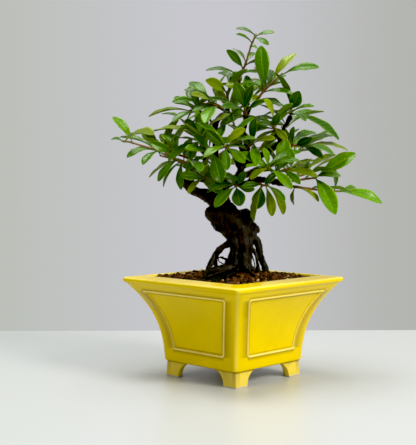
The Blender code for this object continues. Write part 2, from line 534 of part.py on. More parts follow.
def make_soil(rng):
    """A body of soil that fills the pot, its top a crowned field of grains."""
    top_half = inner_half(SOIL_EDGE) - SOIL_GAP
    low_half = inner_half(SOIL_LOW) - SOIL_GAP
    cells = SOIL_CELLS
    turn = Matrix.Rotation(POT_TURN, 3, "Z")
    points = []
    for row in range(cells + 1):
        for column in range(cells + 1):
            across = 2 * column / cells - 1
            along = 2 * row / cells - 1
            inside = 0 < row < cells and 0 < column < cells
            crown = SOIL_CROWN * (1 - across ** 2) * (1 - along ** 2)
            shift = Vector((rng.uniform(-1, 1), rng.uniform(-1, 1), rng.uniform(-1, 1)))
            if inside:
                spread = Vector((GRAIN_SHIFT, GRAIN_SHIFT, GRAIN_RELIEF))
            else:
                spread = Vector((0, 0, EDGE_RELIEF))
            place = Vector((top_half * across, top_half * along, SOIL_EDGE + crown))
            points.append(turn @ (place + shift * spread))
    faces = []
    for row in range(cells):
        for column in range(cells):
            first = row * (cells + 1) + column
            faces.append((first, first + 1, first + cells + 2, first + cells + 1))
    edge = [column for column in range(cells)]
    edge += [row * (cells + 1) + cells for row in range(cells)]
    edge += [cells * (cells + 1) + column for column in range(cells, 0, -1)]
    edge += [row * (cells + 1) for row in range(cells, 0, -1)]
    corners = [turn @ Vector((low_half * a, low_half * b, SOIL_LOW))
               for a, b in ((-1, -1), (1, -1), (1, 1), (-1, 1))]
    low = len(points)
    points += corners
    for side in range(4):
        for i in range(side * cells, (side + 1) * cells):
            here = edge[i]
            after = edge[(i + 1) % len(edge)]
            faces.append((here, after, low + side))
        faces.append((edge[((side + 1) * cells) % len(edge)], low + side, low + (side + 1) % 4))
    faces.append((low, low + 1, low + 2, low + 3))
    soil = mesh_object("soil", points, faces)
    body = bmesh.new()
    body.from_mesh(soil.data)
    bmesh.ops.triangulate(body, faces=body.faces)
    body.to_mesh(soil.data)
    body.free()
    return soil


def bar(name, low, high):
    """A straight block between two corners."""
    body = bmesh.new()
    bmesh.ops.create_cube(body, size=1.0)
    size = high - low
    bmesh.ops.scale(body, vec=size * MM, verts=body.verts)
    bmesh.ops.translate(body, vec=(low + high) / 2 * MM, verts=body.verts)
    mesh = bpy.data.meshes.new(name)
    body.to_mesh(mesh)
    body.free()
    return new_object(name, mesh)


def make_screen():
    """A square of plastic net over the drain hole: a thin plate with square openings."""
    low = FLOOR_TOP + CLEARANCE
    half = SCREEN_SIDE / 2
    pieces = [bar("plate", Vector((-half, -half, low)), Vector((half, half, low + SCREEN_THICK)))]
    pitch = (SCREEN_SIDE - SCREEN_BAR) / SCREEN_OPENINGS
    for row in range(SCREEN_OPENINGS):
        for column in range(SCREEN_OPENINGS):
            corner = Vector((SCREEN_BAR - half + column * pitch, SCREEN_BAR - half + row * pitch, 0))
            side = pitch - SCREEN_BAR
            opening = bar("opening", corner, corner + Vector((side, side, 2 * low)))
            pieces.append(opening)
    return united("drain_screen", pieces, "DIFFERENCE")


def make_clip():
    """The wire that holds the net: across its top, down the drain hole and out under the pot."""
    over = FLOOR_TOP + CLEARANCE + SCREEN_THICK + CLEARANCE + CLIP_RADIUS
    under = BASE_TOP - CLEARANCE - CLIP_RADIUS
    half = [(CLIP_LEG - CLIP_BEND, over), (CLIP_LEG - CLIP_BEND / 3, over - CLIP_BEND / 3),
            (CLIP_LEG, over - CLIP_BEND), (CLIP_LEG, under + CLIP_BEND),
            (CLIP_LEG + CLIP_BEND / 3, under + CLIP_BEND / 3), (CLIP_LEG + CLIP_BEND, under),
            (CLIP_REACH, under)]
    route = [Vector((-x, 0, z)) for x, z in reversed(half)] + [Vector((x, 0, z)) for x, z in half]
    return tube("screen_clip", route, [CLIP_RADIUS] * len(route))


# The wood

def wood_rows(strand):
    """The strand's smooth route: places in millimetres and radii."""
    rows = curve_through(strand, STRAND_STEP)
    return [drawn(*row[:3]) for row in rows], [max(0.8, row[3]) for row in rows]


def strand_sides(strand):
    """Thick strands are rounder than thin ones."""
    return 8 if max(row[3] for row in strand) > 5 else 6


def make_trunk():
    """Roots, trunk and woody branches, grown as one piece."""
    tubes = []
    for name, strand in WOOD.items():
        tubes.append(tube(name, *wood_rows(strand), strand_sides(strand)))
    return united("trunk", tubes)


def root_cutters():
    """What cuts the plain holes that the roots stand in."""
    cutters = []
    for name, strand in WOOD.items():
        if min(row[2] for row in strand) < SOIL_EDGE + SOIL_CROWN + 2 * GRAIN_RELIEF:
            places, radii = wood_rows(strand)
            places[0] += (places[0] - places[1]).normalized() * HOLE_ROOM
            places[-1] += (places[-1] - places[-2]).normalized() * HOLE_ROOM
            radii = [radius + HOLE_ROOM for radius in radii]
            cutters.append(tube("hole_" + name, places, radii, strand_sides(strand)))
    return cutters


# The leaves

def blade(leaf, grow=0.0, from_share=0.0):
    """A leaf's closed surface: rings of left edge, right edge and keel, which is the midrib."""
    chord = leaf.tip - leaf.start
    side = chord.cross(leaf.normal).normalized()
    rows = [(from_share, PETIOLE_HALF, 0.8)]
    rows += [(share, leaf.width / 2 * wide, thick) for share, wide, thick in BLADE_STATIONS]
    points = []
    for share, half, thick in rows:
        middle = spine_point(leaf, share)
        slope = chord + leaf.normal * (leaf.arch * 4 * (1 - 2 * share))
        upper = side.cross(slope).normalized()
        if upper.dot(leaf.normal) < 0:
            upper.negate()
        keel = upper * (LEAF_THICK * thick + grow)
        points += [middle - side * (half + grow) + upper * grow,
                   middle + side * (half + grow) + upper * grow, middle - keel]
    tip = len(points)
    points.append(spine_point(leaf, 1.0) + chord.normalized() * grow)
    faces = [(0, 1, 2)]
    for low in range(0, tip - 3, 3):
        left, right, keel = low, low + 1, low + 2
        faces += [(left, right, right + 3), (left, right + 3, left + 3)]
        faces += [(right, keel, keel + 3), (right, keel + 3, right + 3)]
        faces += [(keel, left, left + 3), (keel, left + 3, keel + 3)]
    last = tip - 3
    faces += [(last, last + 1, tip), (last + 1, last + 2, tip), (last + 2, last, tip)]
    return points, faces


def spine_point(leaf, share):
    """A point of the leaf's midrib, which arches over its chord."""
    lift = leaf.arch * 4 * share * (1 - share)
    return leaf.start + (leaf.tip - leaf.start) * share + leaf.normal * lift


def leaf_width(length):
    """The true width of a leaf of this length."""
    return min(LEAF_WIDEST, max(LEAF_NARROWEST, length * LEAF_SHARE))


def seen_leaf(start, tip, seen_width, roll):
    """A leaf set by how wide it looks from the eye; roll turns it a little further."""
    chord = tip - start
    width = max(leaf_width(chord.length), seen_width)
    toward = EYE - (start + tip) / 2
    toward = (toward - chord * (toward.dot(chord) / chord.length_squared)).normalized()
    upper = chord.cross(toward).normalized()
    if upper.z < 0:
        upper.negate()
    angle = math.acos(min(1.0, seen_width / width)) + roll
    normal = toward * math.cos(angle) + upper * math.sin(angle)
    return Leaf(start, tip, normal, width, LEAF_ARCH * chord.length)


def grown_leaf(start, direction, length):
    """A leaf in a direction, its upper side spread to the light, up and out of the crown."""
    outward = Vector((start.x, start.y, 0)).normalized()
    normal = Vector((0, 0, 1)) + outward * 0.35
    normal = (normal - direction * normal.dot(direction)).normalized()
    return Leaf(start, start + direction * length, normal, leaf_width(length), LEAF_ARCH * length)


def leaf_place(route, x, z, used, spacing):
    """Where on the twig a leaf starts: index of the nearest free place to (x, z) of the drawing."""
    best = None
    for index, (place, seen, length) in enumerate(route[:-2]):
        gap = (seen - Vector((x, z))).length
        taken = any(abs(length - other) < spacing for other in used)
        if not taken and (best is None or gap < best[0]):
            best = (gap, index, length)
    used.append(best[2])
    return best[1]


def leaf_root(route, index, direction):
    """The leaf's first point: inside the twig, on the side that the leaf leaves by."""
    place = route[index][0]
    along = (route[index + 1][0] - place).normalized()
    side = direction - along * direction.dot(along)
    return place + side.normalized() * TWIG_END * 0.5


def twig_route(points):
    """The twig's places in space, their places on the front drawing, and the length so far."""
    rows = curve_through(points, TWIG_FINE_STEP)
    route = []
    length = 0.0
    for row in rows:
        place = drawn(*row)
        if route:
            length += (place - route[-1][0]).length
        route.append((place, Vector((row[0], row[2])), length))
    return route


def twig_radius(share):
    """A twig thins from its base to its end."""
    return TWIG_BASE + (TWIG_END - TWIG_BASE) * share


def clear_start(route, wood):
    """Index of the first place on the route whose cross-section is clear of the wood."""
    for index in range(len(route) - 2):
        place = route[index][0]
        along = (route[index + 1][0] - place).normalized()
        first = along.orthogonal().normalized()
        second = along.cross(first)
        clear = True
        for corner in range(8):
            angle = math.pi / 4 * corner
            rim = place + (first * math.cos(angle) + second * math.sin(angle)) * twig_radius(0)
            nearest, outward, _, gap = wood.find_nearest(rim)
            inside = (rim - nearest).dot(outward) < 0
            if inside or gap < CLEARANCE:
                clear = False
        if clear:
            return index
    return None


def twig_corners(route):
    """Indexes of the route's places that the twig's tube is drawn through."""
    step = round(TWIG_STEP / TWIG_FINE_STEP)
    return [*range(0, len(route) - step // 2, step), len(route) - 1]


def straightened(route):
    """The route with its places moved on to the straight stretches between the corners."""
    corners = twig_corners(route)
    moved = []
    for first, last in zip(corners, corners[1:]):
        for index in range(first, last):
            share = (index - first) / (last - first)
            place = route[first][0].lerp(route[last][0], share)
            moved.append((place, *route[index][1:]))
    return moved + [route[-1]]


def twig_rows(route):
    """The places and radii that a twig's tube is drawn through."""
    picked = [route[index] for index in twig_corners(route)]
    total = route[-1][2] - route[0][2]
    radii = [twig_radius((row[2] - route[0][2]) / total) for row in picked]
    return [row[0] for row in picked], radii


def crosses(surface, trees):
    """Whether a surface cuts any of the search trees."""
    own = search_tree([surface])
    return any(tree is not None and own.overlap(tree) for tree in trees)


def bent_twig(points, wood, others):
    """The twig's route, bent backwards or forwards until its tube clears everything else."""
    for bend in (0, 2, -2, 4, -4, 6, -6, 9, -9, 12, -12, 16, -16):
        last = len(points) - 1
        moved = [(x, y + bend * min(1.0, 2 * i / last), z) for i, (x, y, z) in enumerate(points)]
        route = twig_route(moved)
        index = clear_start(route, wood)
        if index is None or len(route) - index < TWIG_LEAST_STEPS:
            continue
        route = route[index:]
        places, radii = twig_rows(route)
        test = tube("test", places, [radius + CLEARANCE * 0.6 for radius in radii])
        surface = surface_of(test)
        bpy.data.objects.remove(test)
        if not crosses(surface, [wood, others]):
            return straightened(route)
    return None


def first_clear(candidates, obstacles, leaves):
    """The first candidate that clears the obstacles and, if any does, its own shoot's leaves."""
    loose = None
    own = search_tree([blade(leaf) for leaf in leaves])
    own_blades = search_tree([blade(leaf, 0.0, 0.25) for leaf in leaves])
    for leaf in candidates:
        if crosses(blade(leaf, CLEARANCE), obstacles):
            continue
        if not crosses(blade(leaf, 0.05, 0.05), [own]):
            return leaf
        if loose is None and not crosses(blade(leaf, 0.05, 0.25), [own_blades]):
            loose = leaf
    return loose


def seen_leaves(route, rows, obstacles, used, spacing):
    """The leaves of the front drawing, each moved in depth or rolled until it clears the rest."""
    leaves = []
    for x, z, tip_x, tip_z, width, back in rows:
        index = leaf_place(route, x, z, used, spacing)
        depth = route[index][0].y
        candidates = []
        for shift, roll in LEAF_TRIES:
            tip = drawn(tip_x, depth + back + shift, tip_z)
            start = leaf_root(route, index, tip - route[index][0])
            candidates.append(seen_leaf(start, tip, width, roll))
        leaf = first_clear(candidates, obstacles, leaves)
        if leaf:
            leaves.append(leaf)
        else:
            print("no room for the leaf to", tip_x, tip_z)
    return leaves


def grown_leaves(route, count, obstacles, leaves, used, spacing, rng):
    """Leaves that stand round the twig where there is room for them."""
    azimuth = rng.uniform(0, 2 * math.pi)
    highest = 0.6 if leaves else 1.0
    made = []
    for i in range(count):
        share = highest * (1 - 0.75 * i / count)
        seen = route[int(share * (len(route) - 1))][1]
        index = leaf_place(route, seen.x, seen.y, used, spacing)
        along = (route[index + 1][0] - route[index][0]).normalized()
        azimuth += GOLDEN_ANGLE
        length = rng.uniform(*GROWN_LENGTHS)
        rise = rng.uniform(*GROWN_RISES)
        candidates = []
        for turn in GROWN_TURNS:
            angle = azimuth + math.radians(turn)
            out = Vector((math.cos(angle), math.sin(angle), rise))
            direction = (along * 0.7 + out * 0.9).normalized()
            candidates.append(grown_leaf(leaf_root(route, index, direction), direction, length))
        leaf = first_clear(candidates, obstacles, leaves + made)
        if leaf:
            made.append(leaf)
    return made


def plan_shoots(wood):
    """Every shoot's twig route and leaves, each set clear of the wood and of the other shoots."""
    planned = {}
    surfaces = []
    for number, (name, (points, rows, extra)) in enumerate(SHOOTS.items()):
        rng = random.Random(number + 1)
        others = search_tree(surfaces)
        route = bent_twig(points, wood, others)
        if route is None:
            print("no room for", name)
            continue
        used = []
        count = len(rows) + extra
        spacing = min(LEAF_SPACING, 0.4 * (route[-1][2] - route[0][2]) / count)
        leaves = seen_leaves(route, rows, [wood, others], used, spacing)
        leaves += grown_leaves(route, extra, [wood, others], leaves, used, spacing, rng)
        planned[name] = (route, leaves)
        places, radii = twig_rows(route)
        test = tube("test", places, radii)
        surfaces.append(surface_of(test))
        bpy.data.objects.remove(test)
        surfaces += [blade(leaf) for leaf in leaves]
    return planned


def make_shoot(name, route, leaves):
    """A twig and its leaves, grown as one piece."""
    places, radii = twig_rows(route)
    pieces = [tube(name, places, radii)]
    pieces += [mesh_object("leaf", *blade(leaf)) for leaf in leaves]
    return united(name, pieces)


# The whole plant in its pot

def material(name):
    """A plain surface with the part's colour and roughness."""
    colour, roughness = MATERIALS[name]
    made = bpy.data.materials.get(name)
    if made is None:
        made = bpy.data.materials.new(name)
        made.use_nodes = True
        shader = made.node_tree.nodes["Principled BSDF"]
        shader.inputs["Base Color"].default_value = (*colour, 1)
        shader.inputs["Roughness"].default_value = roughness
        shader.inputs["Metallic"].default_value = 1.0 if name == "wire" else 0.0
    return made


def finish_part(parts):
    """Give each part its material, gather the parts and stand them on the middle of their base."""
    collection = bpy.data.collections.new("firethorn_bonsai")
    bpy.context.scene.collection.children.link(collection)
    low = Vector((1e9, 1e9, 1e9))
    high = -low
    for part, surface in parts:
        part.data.materials.clear()
        part.data.materials.append(material(surface))
        bpy.context.scene.collection.objects.unlink(part)
        collection.objects.link(part)
        for vertex in part.data.vertices:
            low = Vector(map(min, low, vertex.co))
            high = Vector(map(max, high, vertex.co))
    middle = Vector(((low.x + high.x) / 2, (low.y + high.y) / 2, low.z))
    for part, surface in parts:
        part.data.transform(Matrix.Translation(-middle))
    print("size", (high - low) / MM, "pot axis at", -middle / MM)


def main():
    """Build the bonsai."""
    for existing in list(bpy.data.objects):
        bpy.data.objects.remove(existing)
    trunk = make_trunk()
    wood = search_tree([surface_of(trunk)])
    parts = [(make_pot(), "glaze")]
    soil = united("soil", [make_soil(random.Random(7))] + root_cutters(), "DIFFERENCE")
    parts.append((soil, "soil"))
    parts.append((make_screen(), "mesh"))
    parts.append((make_clip(), "wire"))
    parts.append((trunk, "bark"))
    for name, (route, leaves) in plan_shoots(wood).items():
        parts.append((make_shoot(name, route, leaves), "leaf"))
    finish_part(parts)


main()
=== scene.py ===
"""Looks of a small firethorn bonsai in a square yellow pot.

The plant and the pot are drawn again from the values that their solids are made from, more finely: thin
folded leaves, furrowed bark, loose grains of soil, and a glazed pot with round corners, beads and lip.
Lengths are in millimetres about the pot's axis unless a comment says otherwise. The stage is in metres.
"""

import math
import random
from collections import namedtuple

import bmesh
import bpy
import numpy as np
from mathutils import Euler, Matrix, Vector
from mathutils.bvhtree import BVHTree
from mathutils.noise import noise as noise_at


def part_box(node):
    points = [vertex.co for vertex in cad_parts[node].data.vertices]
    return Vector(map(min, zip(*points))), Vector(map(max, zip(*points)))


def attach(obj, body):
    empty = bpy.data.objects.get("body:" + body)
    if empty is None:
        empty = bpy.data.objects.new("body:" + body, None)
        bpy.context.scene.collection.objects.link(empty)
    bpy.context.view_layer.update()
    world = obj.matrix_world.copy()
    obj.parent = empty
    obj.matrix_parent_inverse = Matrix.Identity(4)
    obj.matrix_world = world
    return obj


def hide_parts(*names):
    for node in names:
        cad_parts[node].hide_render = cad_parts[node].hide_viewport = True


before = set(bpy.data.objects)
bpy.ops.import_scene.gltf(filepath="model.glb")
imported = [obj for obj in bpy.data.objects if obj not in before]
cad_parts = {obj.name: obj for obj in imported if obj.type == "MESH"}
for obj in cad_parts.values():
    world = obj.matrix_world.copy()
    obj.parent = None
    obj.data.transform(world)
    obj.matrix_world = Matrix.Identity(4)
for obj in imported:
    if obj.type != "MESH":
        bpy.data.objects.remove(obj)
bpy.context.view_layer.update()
pot_low, pot_high = (Vector(corner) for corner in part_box("pot"))
SHIFT = Vector(((pot_low.x + pot_high.x) / 2, (pot_low.y + pot_high.y) / 2, 0))

MM = 0.001
CLEARANCE = 0.3
EYE = Vector((-28.9, -716.0, 145.7))

# The pot: a square with softly rounded corners, one corner towards the front
POT_TURN = math.radians(45)
RIM_HALF = 59.7
RIM_EDGE = 72.7
BASE_HALF = 37.3
BASE_TOP = 11.5
WALL_LEAN = 2.7
WALL_FLARE = 20.0
FLARE_POWER = 2.6
INNER_RADIUS = 0.8
FLOOR_TOP = 17.0
INNER_HALF = 29.5
INNER_SLOPE = 0.264
DRAIN_RADIUS = 6.5
PANEL_MARGIN = 12.2
PANEL_LOW = 21.8
PANEL_HIGH = 64.4
PANEL_DEPTH = 0.7
BEAD_WIDTH = 1.6
WALL_TOP = 69.0
INNER_TOP = 71.6

# The feet: a bracket of two wings under each corner
FOOT_REACH = 23.0
FOOT_TOE = 12.5
FOOT_THICK = 4.5
FOOT_SINK = 1.5
FOOT_FLARE = -1.6
FOOT_INSET = 2.4
FOOT_LIP = 1.2
FOOT_STEPS = 14

# The soil: its height at the edge, its lowest level, its gap to the wall and its crown
SOIL_EDGE = 74.2
SOIL_LOW = 20.2
SOIL_GAP = 0.5
SOIL_CROWN = 4.2

# The wood and the twigs: how far apart their cross-sections stand, and a twig's thickness
STRAND_STEP = 10.0
TWIG_STEP = 8.0
TWIG_FINE_STEP = 0.5
TWIG_BASE = 1.1
TWIG_END = 0.75
TWIG_LEAST_STEPS = 12

# The leaves: long obovate blades, thickest along the midrib
LEAF_THICK = 1.3
LEAF_SHARE = 0.34
LEAF_NARROWEST = 5.5
LEAF_WIDEST = 12.5
LEAF_ARCH = 0.12
PETIOLE_HALF = 0.5
LEAF_SPACING = 0.9
GROWN_LENGTHS = (22, 31)
GROWN_RISES = (-0.1, 0.7)

# Along the blade: share of its length, of its half width and of its thickness
BLADE_STATIONS = [(0.36, 0.66, 1.0), (0.66, 1.0, 1.0), (0.9, 0.62, 0.75)]

# What is tried in turn for a leaf that would cross another: (depth of its tip, roll)
LEAF_TRIES = [(shift, roll) for roll in (0.0, 0.35, -0.35, 0.8)
              for shift in (0, -4, 4, -8, 8, -12, 12, -17, 17, -23, 23)]
GROWN_TURNS = (0, 25, -25, 50, -50, 80, -80, 120, -120, 160)
GOLDEN_ANGLE = math.radians(137.5)
Leaf = namedtuple("Leaf", "start tip normal width arch")

# Roots, trunk and woody branches, each a list of (x, y, z, radius)
WOOD = {
    "heart": [(7, 2, 70, 6.5), (7, 2, 82, 7), (7, 2, 93, 7.5), (5.5, 1, 102, 10), (4, 0, 109, 11.5),
              (-1, 0, 114.5, 11.5), (-8, 0, 119.5, 10.5), (-9.5, 0, 126, 8.8), (-10, 1, 133, 7),
              (-13, 2, 140, 4.6), (-14, 3, 146, 3)],
    "right_burl": [(1, 0, 113, 8.5), (8, -1, 117, 8), (12, -1, 117.5, 6), (14.6, -1, 117, 3.2)],
    "right_knob": [(8, 0, 113, 7.5), (14, 0, 110.5, 5), (18.5, -1, 109.3, 2.6), (20.2, -1, 109, 1.5)],
    "knob_root": [(16, -1, 109.5, 3), (14, -3, 104.5, 3), (11.5, -5, 99, 2.6)],
    "left_burl": [(-6, 0, 119, 8.5), (-12.5, -1, 121.5, 8.3), (-18, -1, 122, 5.5), (-20.5, -1, 122.5, 2.5)],
    "front_burl": [(-5, -4, 126, 5.5), (1, -8, 117, 6), (6, -8, 107, 4.5), (6, -8, 98, 3)],
    "cut_stub": [(-8, 0, 128, 7), (-15, -1, 132.5, 5.5), (-22, -2, 136, 4.2), (-29, -2, 138.5, 3.2),
                 (-35, -3, 143, 3), (-38.5, -4, 150, 2.8)],
    "stub_spur": [(-30, -3, 139, 1.8), (-33, -6, 143.5, 1.4), (-30, -7, 147, 1.1)],
    "left_root": [(0, -1, 102, 3.8), (-5, -3, 98, 2.6), (-10, -4, 95.3, 2.1), (-13.5, -4, 91, 1.9),
                  (-15.6, -5, 86, 1.8), (-18.5, -6, 81, 1.7), (-20, -6, 70, 1.6)],
    "left_root_fork": [(-14, -4, 90, 1.5), (-12.8, -4, 82, 1.3), (-12.5, -5, 70, 1.3)],
    "crossing_root": [(-14, -4, 88.5, 0.9), (-8, -6, 88.5, 0.8), (-4.5, -7, 86, 0.9)],
    "surface_root": [(-23, -8, 72, 2.2), (-17, -12, 77.5, 3), (-9, -13, 79, 3.6), (-2, -10, 81, 3.4),
                     (4, -5, 84.5, 3.2)],
    "inner_left_root": [(2, -4, 101, 2.8), (-0.5, -6, 94.5, 2), (-2.5, -7, 88, 1.7), (-6, -7, 82.5, 1.6),
                        (-10, -7, 70, 1.5)],
    "front_left_root": [(3, -7, 106, 3), (1.8, -9.5, 97, 2.6), (1.6, -10, 88, 2.5), (1, -11, 70, 2.2)],
    "front_root": [(8, -7, 106, 3.2), (8.4, -9.5, 97, 2.9), (8.4, -10, 88, 2.8), (10, -11, 79, 2.9),
                   (10.5, -11, 70, 2.4)],
    "front_right_root": [(11, -5, 105, 2.8), (10, -7, 96, 2.2), (10.2, -8, 88, 1.9), (12, -8.5, 80, 1.8),
                         (13, -9, 70, 1.7)],
    "right_root": [(12, -1, 107, 3.2), (17, -2, 102, 2.5), (19.3, -2, 95, 2.1), (21, -2, 88, 2),
                   (24, -1, 81, 2), (26, 0, 70, 1.7)],
    "right_inner_root": [(12, -3, 98.5, 1.6), (15, -4, 95, 1.3), (17.2, -5, 90, 1.3), (18.3, -6, 84, 1.4),
                         (18.5, -6, 70, 1.3)],
    "back_right_root": [(9, 6, 105, 3.6), (9.5, 11, 96, 3), (9.5, 16, 87, 2.6), (14, 21, 78, 2.4),
                        (16, 22, 70, 2)],
    "back_root": [(5, 8, 105, 3.6), (5, 13, 95, 3), (4.5, 17, 86, 2.7), (5, 21, 78, 2.5),
                  (5, 22, 70, 2.1)],
    "back_left_root": [(0, 5, 105, 3.6), (1, 10, 96, 2.9), (0.5, 15, 87, 2.5), (-4, 20, 78, 2.3),
                       (-6, 21, 70, 1.9)],
    "left_stem": [(-11, 1, 135, 4.2), (-15, 1, 142, 3), (-19, 0, 150, 2.4), (-21, -2, 158, 2.1),
                  (-21, -4, 167, 1.8), (-24, -5, 172, 1.5)],
    "middle_stem": [(-13, 2, 141, 3), (-13, 5, 151, 2.5), (-13, 6, 162, 2.2), (-14, 6, 173, 2),
                    (-14, 5, 184, 1.9), (-11, 4, 192, 1.8), (-5.5, 3, 197, 1.7), (-4, 4, 205, 1.5)],
    "arched_branch": [(-12, 1, 137, 4), (-10, 0, 143, 3.2), (-5, -1, 147, 2.8), (1, -1, 146, 2.6),
                      (8, -3, 143, 2.4), (17, -7, 146.5, 2.2), (26, -9, 146.5, 2), (34, -10, 144.5, 1.8),
                      (43, -11, 142, 1.6)],
    "leader": [(0, -1, 146, 2.5), (5, 2, 152, 2.4), (8.5, 4, 162, 2.2), (10, 4, 175, 2.1),
               (6.5, 3, 182, 2), (9, 2, 188, 1.9), (9.5, 1, 196, 1.7), (12, 1, 201, 1.6)],
    "right_stem": [(6.5, 3, 156, 2.1), (14, 1, 161, 2), (23, -1, 166, 1.9), (31, -3, 171, 1.8),
                   (35.8, -4, 177, 1.7), (36.5, -4, 183, 1.6), (40, -4, 189, 1.5), (42.7, -4, 194, 1.4)],
    "right_fork": [(35, -4, 174, 1.5), (33.5, -7, 179, 1.4), (31.5, -8, 182, 1.3)],
    "back_left_branch": [(-11, 3, 138, 3.4), (-18, 13, 144, 2.6), (-28, 24, 151, 2),
                         (-37, 33, 158, 1.5)],
    "back_right_branch": [(-8, 3, 141, 3), (4, 12, 148, 2.4), (18, 24, 154, 2), (33, 36, 160, 1.5)],
    "back_branch": [(-11, 4, 139, 3), (-8, 14, 144, 2.4), (-8, 25, 148, 1.9), (-9, 34, 151, 1.5)],
    "high_back_branch": [(9, 4, 164, 2.2), (6, 14, 171, 1.9), (3, 23, 179, 1.7), (1, 30, 186, 1.4)],
    "front_branch": [(6, 3, 155, 2.3), (3, -7, 161, 1.9), (0, -16, 166, 1.7), (-3, -23, 169, 1.4)],
    "low_front_branch": [(12, -5, 144.5, 2.2), (15, -14, 149, 1.8), (18, -21, 152, 1.5)],
}

